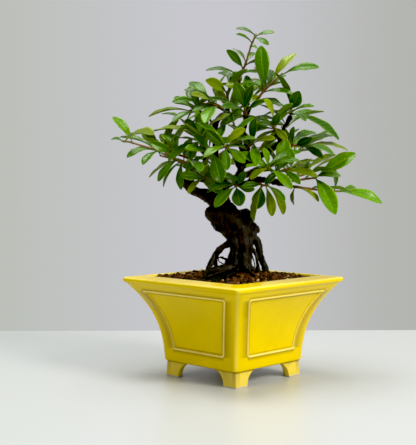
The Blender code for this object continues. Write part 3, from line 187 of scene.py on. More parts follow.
# Each leafy shoot: the twig's points (x, y, z); its leaves seen from the front, each the place
# where it leaves the twig, its tip, the width seen and how far the tip lies behind its start;
# and how many more leaves stand round the twig, out of the front view
SHOOTS = {
    "apex_shoot": (
        [(12, 1, 201), (9, 2, 212), (3, 2, 220), (5.5, 1, 227), (9, 0, 232), (11.5, 0, 241),
         (14, 0, 249), (17, -1, 255.5)],
        [(14.8, 254.9, 1.9, 258.9, 2.2, 3), (11.6, 249.6, 2.2, 254.9, 1.2, -6),
         (18.9, 254.6, 30.5, 256.2, 3.0, -5), (17.5, 252.6, 26.2, 246.9, 3.7, -8),
         (6.6, 229.7, -5.1, 242.9, 6.0, -14), (10.9, 232.9, 15.5, 241.3, 5.2, 13),
         (1.0, 226.0, -20.4, 228.0, 3.4, -6), (3.0, 221.0, -11.4, 226.3, 4.5, 10),
         (11.6, 232.0, 19.5, 234.3, 1.5, -9), (5.5, 224.0, 21.9, 226.3, 2.6, -10),
         (7.0, 217.0, 20.5, 221.0, 2.2, 12), (8.0, 213.0, -6.0, 217.0, 4.0, -10),
         (9.0, 233.0, 0.0, 244.0, 3.0, 12), (13.0, 246.0, 19.0, 243.0, 2.5, 9)], 0),
    "upper_right_shoot": (
        [(10.5, 0, 198), (16, -4, 204), (20.5, -5, 210.4), (25.5, -6, 215.7), (29.5, -6, 219.4),
         (36.9, -7, 226)],
        [(23.9, 216.0, 20.5, 246.3, 11.2, -4), (28.5, 219.7, 46.5, 240.6, 6.3, 4),
         (37.5, 226.3, 63.8, 230.6, 5.2, -4), (22.8, 211.4, 44.8, 210.4, 4.1, -12),
         (17.9, 206.4, 35.1, 201.4, 3.0, -16), (22.9, 213.4, 8.0, 219.0, 1.5, -12),
         (20.0, 209.0, 6.0, 206.0, 6.0, -10)], 3),
    "right_rosette": (
        [(42.7, -4, 194), (43.5, -5, 198), (43, -6, 202)],
        [(42.3, 200.0, 30.7, 226.8, 2.6, -3), (43.5, 199.7, 49.0, 212.8, 9.7, -16),
         (44.0, 197.1, 60.1, 201.5, 1.5, -14), (43.5, 196.9, 78.9, 176.7, 5.2, -6),
         (43.5, 195.6, 53.8, 190.6, 2.2, -18), (41.5, 197.6, 23.6, 204.5, 2.2, -12),
         (42.0, 196.6, 22.4, 194.8, 1.5, 10)], 0),
    "right_fork_shoot": (
        [(31.5, -8, 182), (31, -10, 186), (29, -12, 190)],
        [(31.0, 187.0, 34.1, 196.2, 6.0, -16), (29.9, 189.4, 22.9, 206.8, 3.0, -8),
         (30.8, 184.7, 18.8, 188.3, 1.5, -16), (30.9, 187.7, 17.2, 193.0, 3.0, 6),
         (31.0, 185.0, 13.2, 182.3, 3.7, -10), (30.5, 186.0, 40.0, 176.0, 6.0, -14)], 2),
    "right_middle_shoot": (
        [(35.8, -4, 175), (41, -8, 173.5), (47, -10, 172), (53.5, -11, 171.5)],
        [(46.8, 173.0, 58.8, 178.0, 6.7, -16), (53.5, 171.8, 85.6, 168.8, 2.6, 4),
         (52.5, 170.8, 66.9, 162.8, 6.0, -14), (53.2, 171.2, 75.1, 165.3, 3.7, -12),
         (45.3, 173.0, 45.3, 186.4, 3.7, -10), (40.8, 174.9, 49.1, 184.9, 2.2, 12)], 2),
    "low_front_shoot": (
        [(18, -21, 152), (23, -29, 154.5), (28, -36, 156)],
        [(26.0, 155.4, 13.0, 147.0, 5.0, -14), (28.0, 155.8, 44.0, 140.0, 6.5, -8),
         (28.4, 156.0, 50.0, 161.0, 3.5, -10), (27.6, 155.8, 22.0, 170.5, 4.0, -10)], 2),
    "right_front_shoot": (
        [(26, -9, 146.5), (29, -14, 149.5), (32, -18, 152), (37, -20, 154), (44, -21, 156)],
        [(33.9, 153.5, 39.5, 177.0, 11.2, -4), (30.0, 151.5, 4.2, 166.6, 6.0, -2),
         (32.0, 152.5, 15.2, 152.1, 3.7, -15), (35.2, 153.8, 63.2, 149.1, 5.2, -2),
         (31.8, 153.0, 26.8, 168.0, 2.2, 8), (43.0, 155.7, 41.0, 170.3, 6.0, -14),
         (44.0, 156.2, 62.2, 161.4, 2.2, -8),
         (38.0, 154.2, 24.0, 143.0, 5.0, -12), (36.0, 153.6, 50.0, 143.5, 5.0, -12)], 3),
    "hanging_shoot": (
        [(17, -7, 146.5), (19.5, -13, 144.5), (22, -17, 142.5), (27, -20, 143)],
        [(21.4, 142.5, 6.7, 142.0, 5.2, -8), (20.9, 143.0, 17.4, 124.9, 10.4, -6),
         (21.4, 142.6, 15.6, 116.0, 5.2, 6), (23.8, 142.2, 29.2, 119.5, 7.5, -2),
         (25.9, 142.8, 37.8, 120.9, 6.0, 4), (26.5, 143.0, 38.1, 130.5, 3.0, -12)], 0),
    "low_right_shoot": (
        [(43, -11, 142), (54.5, -12, 140.5), (65, -12, 139), (74, -12, 138.3), (80, -12, 138.3)],
        [(48.5, 140.9, 63.8, 130.5, 2.2, -14), (77.8, 138.3, 111.7, 129.4, 8.2, -3),
         (75.9, 138.3, 74.2, 156.1, 4.1, 10), (78.1, 138.5, 93.9, 137.8, 6.7, 16),
         (46.0, 141.4, 45.2, 127.9, 3.7, 10)], 2),
    "right_end_rosette": (
        [(37, -10, 144), (45, -4, 146), (55, -4, 147.5), (63, -5, 148.5)],
        [(62.1, 148.5, 91.4, 166.5, 10.4, -3), (61.7, 148.2, 76.6, 120.8, 10.4, -6),
         (62.2, 148.3, 80.4, 149.5, 4.5, -16), (56.0, 147.6, 58.0, 163.0, 4.0, 12)], 2),
    "low_left_inner_shoot": (
        [(-19, 0, 150), (-21, -6, 149), (-22, -11, 148)],
        [(-21.0, 149.0, -8.0, 136.5, 8.0, -12), (-22.0, 148.5, -40.0, 150.5, 7.0, -12),
         (-21.8, 148.4, -33.5, 136.4, 4.0, -10), (-21.5, 148.8, -11.0, 157.0, 5.0, -12),
         (-21.6, 148.6, -14.5, 142.5, 8.0, -14)], 3),
    "low_centre_shoot": (
        [(4, -2, 143.5), (3, -9, 142.5), (1.5, -14, 141.5)],
        [(2.0, 141.8, -14.0, 126.4, 7.5, -6), (2.2, 141.6, 5.2, 127.1, 10.4, -12),
         (2.6, 142.0, -17.9, 139.0, 4.5, -10), (2.4, 142.2, 16.0, 139.5, 6.0, -12),
         (3.4, 142.6, -6.0, 152.0, 6.5, -10), (3.2, 142.6, 9.0, 153.0, 6.0, -12)], 2),
    "front_left_shoot": (
        [(-21, -4, 163), (-18, -12, 166), (-15, -18, 168)],
        [(-15.9, 168.0, -9.2, 144.5, 12.0, -8), (-18.4, 166.0, -35.2, 152.2, 4.0, -10),
         (-18.0, 166.5, -36.0, 170.0, 4.5, -14), (-16.0, 167.6, -2.0, 178.0, 5.5, -10),
         (-17.0, 167.0, -30.0, 180.0, 5.0, -12), (-18.4, 166.0, -23.5, 150.0, 6.5, -8)], 2),
    "far_left_shoot": (
        [(-21, -2, 158), (-33, -6, 162.5), (-45.7, -8, 167.3), (-55.9, -9, 169.1),
         (-66.8, -10, 171.7), (-78.5, -10, 175.3), (-83.5, -10, 175.7)],
        [(-75.5, 174.7, -89.8, 193.5, 6.3, -6), (-80.8, 175.3, -59.5, 180.3, 2.6, -12),
         (-82.0, 175.5, -91.0, 177.0, 2.2, 6), (-60.2, 170.0, -79.2, 163.4, 3.4, -12),
         (-54.2, 168.7, -67.5, 158.1, 3.4, -16), (-45.9, 167.6, -61.9, 174.5, 7.5, -10),
         (-42.0, 166.0, -53.0, 181.2, 6.0, 12)], 3),
    "left_rosette": (
        [(-24, -5, 172), (-25.5, -7, 176), (-25.5, -8, 179)],
        [(-25.5, 177.4, -60.8, 182.7, 3.7, 2), (-25.6, 178.7, -27.8, 198.6, 6.0, -10),
         (-25.3, 178.2, -19.9, 193.4, 6.3, -16), (-25.4, 177.7, -2.5, 195.6, 1.5, -5),
         (-25.2, 176.8, 10.2, 169.5, 3.7, -14), (-25.2, 176.3, -31.5, 161.8, 6.0, -18),
         (-25.4, 176.0, -48.6, 160.6, 6.3, -10), (-25.4, 178.0, -43.0, 193.1, 5.0, 12)], 1),
    "low_left_shoot": (
        [(-19.5, -1, 153), (-30, -10, 157.5), (-38, -14, 161), (-42, -15, 162.5)],
        [(-41.5, 161.8, -56.2, 145.7, 5.6, -4), (-40.5, 161.4, -62.8, 148.8, 1.8, 10),
         (-38.5, 160.9, -52.4, 141.5, 2.2, 4), (-38.8, 160.9, -39.0, 139.3, 6.0, -6),
         (-36.3, 160.6, -25.5, 152.8, 3.7, -16)], 1),
    "upper_left_shoot": (
        [(-6, 3, 197), (-10, -2, 201), (-17, -5, 203), (-25.6, -7, 203.5)],
        [(-10.9, 201.5, -36.5, 213.7, 3.7, -4), (-15.2, 202.5, -31.6, 210.1, 3.0, -14),
         (-24.6, 203.2, -45.4, 204.4, 4.1, -10), (-9.4, 200.3, -30.6, 197.5, 3.7, -14),
         (-8.5, 199.5, -1.0, 190.0, 5.0, -16), (-12.0, 202.0, -21.0, 189.0, 4.0, -12)], 2),
    "middle_top_shoot": (
        [(-4, 4, 205), (-4, 3, 209), (-5, 2, 213)],
        [(-5.0, 210.6, -20.7, 220.6, 6.7, -12), (-4.5, 211.3, 4.0, 226.9, 9.7, -12),
         (-4.6, 212.0, -8.0, 229.0, 4.0, 10)], 1),
    "middle_left_shoot": (
        [(-14, 5, 186), (-19, 0, 194), (-25, -4, 197.5), (-33, -6, 198.5)],
        [(-32.8, 198.7, -63.2, 193.9, 1.9, -4), (-24.9, 196.9, -45.1, 189.8, 3.0, -14),
         (-29.0, 197.6, -44.0, 208.1, 5.0, 10)], 2),
    "leader_front_shoot": (
        [(9.5, 1, 193), (9, -8, 197), (8, -15, 201)],
        [(8.6, 199.0, 1.5, 218.9, 9.7, -10), (8.4, 199.6, 14.5, 216.6, 6.7, -14),
         (9.0, 197.0, 24.2, 205.3, 4.0, -16), (9.2, 195.4, -10.0, 187.4, 6.0, -12),
         (9.2, 195.8, 20.5, 185.4, 5.0, -14), (9.1, 197.6, -9.0, 200.7, 3.0, -16)], 2),
    "centre_front_shoot": (
        [(-3, -23, 169), (-5, -30, 171), (-7, -36, 172)],
        [(-5.8, 171.2, -20.4, 183.7, 8.0, -6), (-6.2, 171.6, 8.8, 185.0, 6.0, -8),
         (-5.6, 171.0, 9.0, 159.6, 7.0, -10), (-6.4, 171.6, -22.0, 163.6, 5.0, -12),
         (-6.0, 171.2, -4.5, 154.0, 7.0, -8)], 3),
    "centre_shoot": (
        [(9.5, 4, 170), (12, -4, 172), (15, -11, 174)],
        [(14.0, 173.4, 31.1, 177.4, 3.7, -14), (14.6, 173.8, 16.2, 192.8, 6.0, -12),
         (13.6, 173.0, 17.0, 157.4, 7.5, -14), (13.2, 172.8, -4.0, 178.8, 4.0, -14)], 4),
    "inner_left_shoot": (
        [(-13.5, 6, 166), (-19, 9, 171), (-26, 10, 176)], [(-24.0, 175.0, -40.0, 187.0, 6.0, 6)], 5),
    "inner_right_shoot": (
        [(12, 1.7, 160), (18, 8, 165), (24, 13, 170)], [(23.0, 169.5, 34.0, 183.0, 6.0, 6)], 5),
    "inner_high_shoot": (
        [(-14, 5, 182), (-8, -3, 187), (-4, -8, 190)],
        [(-5.0, 189.5, -14.0, 176.0, 6.0, -8), (-4.6, 189.8, 6.0, 200.0, 7.0, -6)], 3),
    "back_left_shoot": ([(-37, 33, 158), (-45, 41, 163), (-54, 48, 167)], [], 7),
    "back_right_shoot": ([(33, 36, 160), (42, 44, 165), (52, 50, 170)], [], 7),
    "back_shoot": ([(-9, 34, 151), (-11, 43, 154), (-13, 53, 156)], [], 7),
    "high_back_shoot": ([(1, 30, 186), (-1, 38, 193), (-4, 45, 200)], [], 7),
    "back_apex_shoot": ([(10.5, 1, 199), (11, 8, 203), (11, 15, 207), (10, 21, 210)], [], 6),
    "left_back_shoot": ([(-14, 6, 176), (-22, 15, 182), (-31, 24, 187), (-38, 31, 191)], [], 7),
    "right_back_shoot": ([(38, -4, 186), (39, 6, 187), (40, 17, 187), (40, 27, 186)], [], 6),
    "low_right_back_shoot": ([(26, -9, 146.5), (35, 1, 147), (47, 11, 149), (58, 20, 152)], [], 7),
    "low_left_back_shoot": ([(-20, -1, 155), (-32, 8, 158), (-44, 15, 162), (-55, 21, 165)], [], 7),
}


def drawn(x, y, z):
    """A point of the front drawing, moved back by y along the line of sight through it."""
    return EYE + (Vector((x, 0, z)) - EYE) * ((y - EYE.y) / -EYE.y)


def curve_through(points, step):
    """Points of a smooth curve through the given rows, about one step apart."""
    rows = np.array(points, dtype=float)
    rows = np.vstack([2 * rows[0] - rows[1], rows, 2 * rows[-1] - rows[-2]])
    smooth = []
    for before, first, last, after in zip(rows, rows[1:], rows[2:], rows[3:]):
        count = max(1, round(np.linalg.norm((last - first)[:3]) / step))
        for i in range(count):
            t = i / count
            smooth.append(0.5 * (2 * first + (last - before) * t
                                 + (2 * before - 5 * first + 4 * last - after) * t ** 2
                                 + (3 * first - before - 3 * last + after) * t ** 3))
    smooth.append(rows[-2])
    return smooth


def new_object(name, mesh, matrix=None):
    """A mesh object in the scene."""
    made = bpy.data.objects.new(name, mesh)
    bpy.context.scene.collection.objects.link(made)
    if matrix:
        made.matrix_world = matrix
    return made


def mesh_object(name, points, faces):
    """A closed mesh from points in millimetres, with its faces turned outwards."""
    mesh = bpy.data.meshes.new(name)
    mesh.from_pydata([point * MM for point in points], [], faces)
    body = bmesh.new()
    body.from_mesh(mesh)
    bmesh.ops.recalc_face_normals(body, faces=body.faces)
    body.to_mesh(mesh)
    body.free()
    return new_object(name, mesh)


def evaluated_copy(source):
    """The object's evaluated shape as a plain welded mesh that takes its place."""
    bpy.context.view_layer.update()
    graph = bpy.context.evaluated_depsgraph_get()
    mesh = bpy.data.meshes.new_from_object(source.evaluated_get(graph))
    body = bmesh.new()
    body.from_mesh(mesh)
    bmesh.ops.remove_doubles(body, verts=body.verts, dist=1e-6)
    bmesh.ops.recalc_face_normals(body, faces=body.faces)
    body.to_mesh(mesh)
    body.free()
    name, matrix = source.name, source.matrix_world.copy()
    bpy.data.objects.remove(source)
    return new_object(name, mesh, matrix)


def tube(name, points, radii, sides=6):
    """A round bar through the points, with closed ends."""
    curve = bpy.data.curves.new(name, "CURVE")
    curve.dimensions = "3D"
    curve.bevel_depth = MM
    curve.bevel_resolution = sides // 2 - 2
    curve.use_fill_caps = True
    spline = curve.splines.new("POLY")
    spline.points.add(len(points) - 1)
    for target, point, radius in zip(spline.points, points, radii):
        target.co = (*(point * MM), 1)
        target.radius = radius
    return evaluated_copy(new_object(name, curve))


def united(name, pieces):
    """The first piece joined with the others."""
    first, *others = pieces
    group = bpy.data.collections.new(name + "_pieces")
    for piece in others:
        group.objects.link(piece)
    boolean = first.modifiers.new("boolean", "BOOLEAN")
    boolean.operation = "UNION"
    boolean.operand_type = "COLLECTION"
    boolean.collection = group
    boolean.solver = "EXACT"
    first.name = name
    joined = evaluated_copy(first)
    joined.name = name
    for piece in others:
        bpy.data.objects.remove(piece)
    bpy.data.collections.remove(group)
    return joined


def surface_of(made):
    """The object's points in millimetres and its faces."""
    points = [made.matrix_world @ vertex.co / MM for vertex in made.data.vertices]
    return points, [tuple(face.vertices) for face in made.data.polygons]


def search_tree(surfaces):
    """One search tree over several surfaces, or None without any."""
    points, faces = [], []
    for some_points, some_faces in surfaces:
        first = len(points)
        points += some_points
        faces += [tuple(first + i for i in face) for face in some_faces]
    return BVHTree.FromPolygons(points, faces) if faces else None


def wall_half(height):
    """Half the pot's outside width at a height."""
    share = (height - BASE_TOP) / (RIM_EDGE - BASE_TOP)
    return BASE_HALF + WALL_LEAN * share + WALL_FLARE * max(0.0, share) ** FLARE_POWER


def round_ring(radius, height, count):
    """A round turn with as many points as the square ones, starting at the same corner."""
    start = POT_TURN - math.pi / 4 - math.pi / count * 2
    angles = [start + 2 * math.pi * i / count for i in range(count)]
    return [Vector((radius * math.cos(a), radius * math.sin(a), height)) for a in angles]


def inner_half(height):
    """Half the width of the pot's inside at a height."""
    return INNER_HALF + (height - FLOOR_TOP) * INNER_SLOPE


def foot_wing(side):
    """Half of a bracket foot: a thick outline along one side of the corner, flared at its toe."""
    low_out = wall_half(BASE_TOP) + FOOT_FLARE
    high_out = wall_half(BASE_TOP) - FOOT_INSET
    outline = [(0.0, 0.0), (FOOT_TOE, 0.0)]
    for i in range(FOOT_STEPS + 1):
        angle = math.pi / 2 * i / FOOT_STEPS
        across = FOOT_TOE + (FOOT_REACH - FOOT_TOE) * (1 - math.cos(angle))
        outline.append((across, FOOT_LIP + (BASE_TOP - FOOT_LIP) * math.sin(angle)))
    outline += [(FOOT_REACH, BASE_TOP + FOOT_SINK), (0.0, BASE_TOP + FOOT_SINK)]
    points = []
    for depth in (0.0, FOOT_THICK):
        for along, height in outline:
            share = min(1.0, height / BASE_TOP)
            out = low_out + (high_out - low_out) * math.sqrt(share)
            points.append(Vector((out - depth, side * (out - along), height)))
    count = len(outline)
    faces = [tuple(range(count)), tuple(range(count, 2 * count))]
    for i in range(count):
        after = (i + 1) % count
        faces.append((i, after, count + after, count + i))
    return points, faces


def wood_rows(strand):
    """The strand's smooth route: places in millimetres and radii."""
    rows = curve_through(strand, STRAND_STEP)
    return [drawn(*row[:3]) for row in rows], [max(0.8, row[3]) for row in rows]


def strand_sides(strand):
    """Thick strands are rounder than thin ones."""
    return 8 if max(row[3] for row in strand) > 5 else 6


def make_trunk():
    """Roots, trunk and woody branches, grown as one piece."""
    tubes = []
    for name, strand in WOOD.items():
        tubes.append(tube(name, *wood_rows(strand), strand_sides(strand)))
    return united("trunk", tubes)


def blade(leaf, grow=0.0, from_share=0.0):
    """A leaf's closed surface: rings of left edge, right edge and keel, which is the midrib."""
    chord = leaf.tip - leaf.start
    side = chord.cross(leaf.normal).normalized()
    rows = [(from_share, PETIOLE_HALF, 0.8)]
    rows += [(share, leaf.width / 2 * wide, thick) for share, wide, thick in BLADE_STATIONS]
    points = []
    for share, half, thick in rows:
        middle = spine_point(leaf, share)
        slope = chord + leaf.normal * (leaf.arch * 4 * (1 - 2 * share))
        upper = side.cross(slope).normalized()
        if upper.dot(leaf.normal) < 0:
            upper.negate()
        keel = upper * (LEAF_THICK * thick + grow)
        points += [middle - side * (half + grow) + upper * grow,
                   middle + side * (half + grow) + upper * grow, middle - keel]
    tip = len(points)
    points.append(spine_point(leaf, 1.0) + chord.normalized() * grow)
    faces = [(0, 1, 2)]
    for low in range(0, tip - 3, 3):
        left, right, keel = low, low + 1, low + 2
        faces += [(left, right, right + 3), (left, right + 3, left + 3)]
        faces += [(right, keel, keel + 3), (right, keel + 3, right + 3)]
        faces += [(keel, left, left + 3), (keel, left + 3, keel + 3)]
    last = tip - 3
    faces += [(last, last + 1, tip), (last + 1, last + 2, tip), (last + 2, last, tip)]
    return points, faces


def spine_point(leaf, share):
    """A point of the leaf's midrib, which arches over its chord."""
    lift = leaf.arch * 4 * share * (1 - share)
    return leaf.start + (leaf.tip - leaf.start) * share + leaf.normal * lift


def leaf_width(length):
    """The true width of a leaf of this length."""
    return min(LEAF_WIDEST, max(LEAF_NARROWEST, length * LEAF_SHARE))


def seen_leaf(start, tip, seen_width, roll):
    """A leaf set by how wide it looks from the eye; roll turns it a little further."""
    chord = tip - start
    width = max(leaf_width(chord.length), seen_width)
    toward = EYE - (start + tip) / 2
    toward = (toward - chord * (toward.dot(chord) / chord.length_squared)).normalized()
    upper = chord.cross(toward).normalized()
    if upper.z < 0:
        upper.negate()
    angle = math.acos(min(1.0, seen_width / width)) + roll
    normal = toward * math.cos(angle) + upper * math.sin(angle)
    return Leaf(start, tip, normal, width, LEAF_ARCH * chord.length)


def grown_leaf(start, direction, length):
    """A leaf in a direction, its upper side spread to the light, up and out of the crown."""
    outward = Vector((start.x, start.y, 0)).normalized()
    normal = Vector((0, 0, 1)) + outward * 0.35
    normal = (normal - direction * normal.dot(direction)).normalized()
    return Leaf(start, start + direction * length, normal, leaf_width(length), LEAF_ARCH * length)


def leaf_place(route, x, z, used, spacing):
    """Where on the twig a leaf starts: index of the nearest free place to (x, z) of the drawing."""
    best = None
    for index, (_, seen, length) in enumerate(route[:-2]):
        gap = (seen - Vector((x, z))).length
        taken = any(abs(length - other) < spacing for other in used)
        if not taken and (best is None or gap < best[0]):
            best = (gap, index, length)
    used.append(best[2])
    return best[1]


def leaf_root(route, index, direction):
    """The leaf's first point: inside the twig, on the side that the leaf leaves by."""
    place = route[index][0]
    along = (route[index + 1][0] - place).normalized()
    side = direction - along * direction.dot(along)
    return place + side.normalized() * TWIG_END * 0.5


def twig_route(points):
    """The twig's places in space, their places on the front drawing, and the length so far."""
    rows = curve_through(points, TWIG_FINE_STEP)
    route = []
    length = 0.0
    for row in rows:
        place = drawn(*row)
        if route:
            length += (place - route[-1][0]).length
        route.append((place, Vector((row[0], row[2])), length))
    return route


def twig_radius(share):
    """A twig thins from its base to its end."""
    return TWIG_BASE + (TWIG_END - TWIG_BASE) * share


def clear_start(route, wood):
    """Index of the first place on the route whose cross-section is clear of the wood."""
    for index in range(len(route) - 2):
        place = route[index][0]
        along = (route[index + 1][0] - place).normalized()
        first = along.orthogonal().normalized()
        second = along.cross(first)
        clear = True
        for corner in range(8):
            angle = math.pi / 4 * corner
            rim = place + (first * math.cos(angle) + second * math.sin(angle)) * twig_radius(0)
            nearest, outward, _, gap = wood.find_nearest(rim)
            inside = (rim - nearest).dot(outward) < 0
            if inside or gap < CLEARANCE:
                clear = False
        if clear:
            return index
    return None


def twig_corners(route):
    """Indexes of the route's places that the twig's tube is drawn through."""
    step = round(TWIG_STEP / TWIG_FINE_STEP)
    return [*range(0, len(route) - step // 2, step), len(route) - 1]


def straightened(route):
    """The route with its places moved on to the straight stretches between the corners."""
    corners = twig_corners(route)
    moved = []
    for first, last in zip(corners, corners[1:]):
        for index in range(first, last):
            share = (index - first) / (last - first)
            place = route[first][0].lerp(route[last][0], share)
            moved.append((place, *route[index][1:]))
    return moved + [route[-1]]


def twig_rows(route):
    """The places and radii that a twig's tube is drawn through."""
    picked = [route[index] for index in twig_corners(route)]
    total = route[-1][2] - route[0][2]
    radii = [twig_radius((row[2] - route[0][2]) / total) for row in picked]
    return [row[0] for row in picked], radii


def crosses(surface, trees):
    """Whether a surface cuts any of the search trees."""
    own = search_tree([surface])
    return any(tree is not None and own.overlap(tree) for tree in trees)


def bent_twig(points, wood, others):
    """The twig's route, bent backwards or forwards until its tube clears everything else."""
    for bend in (0, 2, -2, 4, -4, 6, -6, 9, -9, 12, -12, 16, -16):
        last = len(points) - 1
        moved = [(x, y + bend * min(1.0, 2 * i / last), z) for i, (x, y, z) in enumerate(points)]
        route = twig_route(moved)
        index = clear_start(route, wood)
        if index is None or len(route) - index < TWIG_LEAST_STEPS:
            continue
        route = route[index:]
        places, radii = twig_rows(route)
        test = tube("test", places, [radius + CLEARANCE * 0.6 for radius in radii])
        surface = surface_of(test)
        bpy.data.objects.remove(test)
        if not crosses(surface, [wood, others]):
            return straightened(route)
    return None


def first_clear(candidates, obstacles, leaves):
    """The first candidate that clears the obstacles and, if any does, its own shoot's leaves."""
    loose = None
    own = search_tree([blade(leaf) for leaf in leaves])
    own_blades = search_tree([blade(leaf, 0.0, 0.25) for leaf in leaves])
    for leaf in candidates:
        if crosses(blade(leaf, CLEARANCE), obstacles):
            continue
        if not crosses(blade(leaf, 0.05, 0.05), [own]):
            return leaf
        if loose is None and not crosses(blade(leaf, 0.05, 0.25), [own_blades]):
            loose = leaf
    return loose


def seen_leaves(route, rows, obstacles, used, spacing):
    """The leaves of the front drawing, each moved in depth or rolled until it clears the rest."""
    leaves = []
    for x, z, tip_x, tip_z, width, back in rows:
        index = leaf_place(route, x, z, used, spacing)
        depth = route[index][0].y
        candidates = []
        for shift, roll in LEAF_TRIES:
            tip = drawn(tip_x, depth + back + shift, tip_z)
            start = leaf_root(route, index, tip - route[index][0])
            candidates.append(seen_leaf(start, tip, width, roll))
        leaf = first_clear(candidates, obstacles, leaves)
        if leaf:
            leaves.append(leaf)
        else:
            print("no room for the leaf to", tip_x, tip_z)
    return leaves


def grown_leaves(route, count, obstacles, leaves, used, spacing, rng):
    """Leaves that stand round the twig where there is room for them."""
    azimuth = rng.uniform(0, 2 * math.pi)
    highest = 0.6 if leaves else 1.0
    made = []
    for i in range(count):
        share = highest * (1 - 0.75 * i / count)
        seen = route[int(share * (len(route) - 1))][1]
        index = leaf_place(route, seen.x, seen.y, used, spacing)
        along = (route[index + 1][0] - route[index][0]).normalized()
        azimuth += GOLDEN_ANGLE
        length = rng.uniform(*GROWN_LENGTHS)
        rise = rng.uniform(*GROWN_RISES)
        candidates = []
        for turn in GROWN_TURNS:
            angle = azimuth + math.radians(turn)
            out = Vector((math.cos(angle), math.sin(angle), rise))
            direction = (along * 0.7 + out * 0.9).normalized()
            candidates.append(grown_leaf(leaf_root(route, index, direction), direction, length))
        leaf = first_clear(candidates, obstacles, leaves + made)
        if leaf:
            made.append(leaf)
    return made


def plan_shoots(wood):
    """Every shoot's twig route and leaves, each set clear of the wood and of the other shoots."""
    planned = {}
    surfaces = []
    for number, (name, (points, rows, extra)) in enumerate(SHOOTS.items()):
        rng = random.Random(number + 1)
        others = search_tree(surfaces)
        route = bent_twig(points, wood, others)
        if route is None:
            print("no room for", name)
            continue
        used = []
        count = len(rows) + extra
        spacing = min(LEAF_SPACING, 0.4 * (route[-1][2] - route[0][2]) / count)
        leaves = seen_leaves(route, rows, [wood, others], used, spacing)
        leaves += grown_leaves(route, extra, [wood, others], leaves, used, spacing, rng)
        planned[name] = (route, leaves)
        places, radii = twig_rows(route)
        test = tube("test", places, radii)
        surfaces.append(surface_of(test))
        bpy.data.objects.remove(test)
        surfaces += [blade(leaf) for leaf in leaves]
    return planned


# Camera, display and floor: angles in radians, the table's edges in metres
CAMERA_PITCH = -0.043
CAMERA_YAW = -0.014
FOCAL_SHARE = 958.5 / 445
SENSOR = 36.0
BLACK_LEVEL = (0.012, 0.012, 0.015)
TABLE_BACK = 0.215
TABLE_FRONT = -1.1
TABLE_SIDE = 1.1
TABLE_COLOUR = (0.50, 0.515, 0.505, 1)

# The pale room's colours by direction
ROOM = {
    "left wall": (0.503, 0.527, 0.480),
    "middle wall": (0.577, 0.577, 0.618),
    "right wall": (0.452, 0.463, 0.432),
    "front left": (0.112, 0.106, 0.082),
    "front right": (0.430, 0.410, 0.370),
    "ceiling": (0.70, 0.72, 0.70),
}

# Soft lights: place and target in metres, size, watts and colour
LIGHTS = {
    "key_light": ((0.80, -0.70, 0.75), (0, 0, 0.12), 0.45, 14.0, (1.0, 0.98, 0.93)),
    "top_light": ((-0.1, 0.1, 1.1), (0, 0, 0.12), 0.6, 9.0, (0.97, 0.98, 1.0)),
    "window_light": ((-0.9, -0.5, 0.5), (0, 0, 0.1), 0.4, 1.5, (0.97, 0.98, 1.0)),
}

# Fine leaves: rows along the blade, columns across it, and thickness in millimetres
LEAF_ROWS = 20
LEAF_COLUMNS = 8
LEAF_THIN = 0.34
RIB_THICK = 0.3

# How much a leaf may fold at its midrib, roll, twist in radians, sway as a share of its length, and wave
LEAF_FOLDS = (0.25, 0.60)
LEAF_ROLLS = (0.05, 0.22)
LEAF_TWISTS = (-0.35, 0.35)
LEAF_SWAYS = (-0.03, 0.03)
EDGE_WAVES = (2.0, 4.0)
EDGE_WAVE_HEIGHT = 0.05

# Leaf colours by tone, and what they are mixed with
LEAF_TONES = {
    "dark": (0.014, 0.062, 0.001),
    "mid": (0.038, 0.125, 0.001),
    "bright": (0.085, 0.215, 0.001),
    "olive": (0.115, 0.160, 0.001),
    "lime": (0.210, 0.280, 0.002),
    "pale": (0.095, 0.200, 0.030),
}
LEAF_GLOSS = (0.80, 1.0, 0.45, 1.0)
LEAF_SHADE = (0.016, 0.075, 0.001)
# Pale colour of the midrib and veins, also of the painted highlight along the margin
LEAF_LINE = (0.30, 0.42, 0.02)
LEAF_UNDERSIDE = (0.20, 0.32, 0.04)
VEIN_TURNS = 62.0
VEIN_SLANT = 9.0
TONE_MIX = ["dark", "mid", "mid", "mid", "bright", "bright", "olive"]
YOUNG_MIX = ["mid", "bright", "bright", "olive", "lime"]

# Leaves whose tone the photo shows plainly: the leaf's place in its shoot's list
SHOWN_TONES = {
    "apex_shoot": {0: "dark", 1: "mid", 2: "mid", 3: "mid", 4: "dark", 5: "mid", 6: "dark", 7: "dark"},
    "upper_right_shoot": {0: "mid", 1: "lime", 2: "mid", 3: "mid", 4: "dark", 5: "mid"},
    "right_rosette": {0: "dark", 1: "mid", 2: "bright", 3: "dark", 4: "mid"},
    "right_middle_shoot": {0: "dark", 1: "olive", 2: "mid", 3: "mid"},
    "right_front_shoot": {0: "bright", 1: "bright", 2: "mid", 3: "olive", 5: "mid", 6: "lime"},
    "right_end_rosette": {0: "bright", 1: "bright", 2: "pale"},
    "low_right_shoot": {0: "lime", 1: "bright", 2: "dark", 3: "pale", 4: "olive"},
    "hanging_shoot": {0: "mid", 1: "mid", 2: "olive", 3: "olive", 4: "olive", 5: "mid"},
    "low_centre_shoot": {0: "bright", 1: "mid", 2: "dark"},
    "front_left_shoot": {0: "mid", 1: "mid", 2: "bright"},
    "far_left_shoot": {0: "bright", 1: "lime", 2: "mid", 3: "mid", 4: "mid", 5: "mid"},
    "left_rosette": {0: "lime", 1: "bright", 2: "mid", 3: "lime", 4: "lime", 5: "mid", 6: "mid"},
    "low_left_shoot": {0: "mid", 1: "olive", 2: "mid", 3: "mid", 4: "mid"},
    "upper_left_shoot": {0: "dark", 1: "olive", 2: "mid", 3: "mid", 4: "dark"},
    "middle_left_shoot": {0: "olive", 1: "mid", 2: "mid"},
    "middle_top_shoot": {0: "olive", 1: "mid"},
    "leader_front_shoot": {0: "mid", 1: "dark", 3: "pale", 4: "mid"},
}

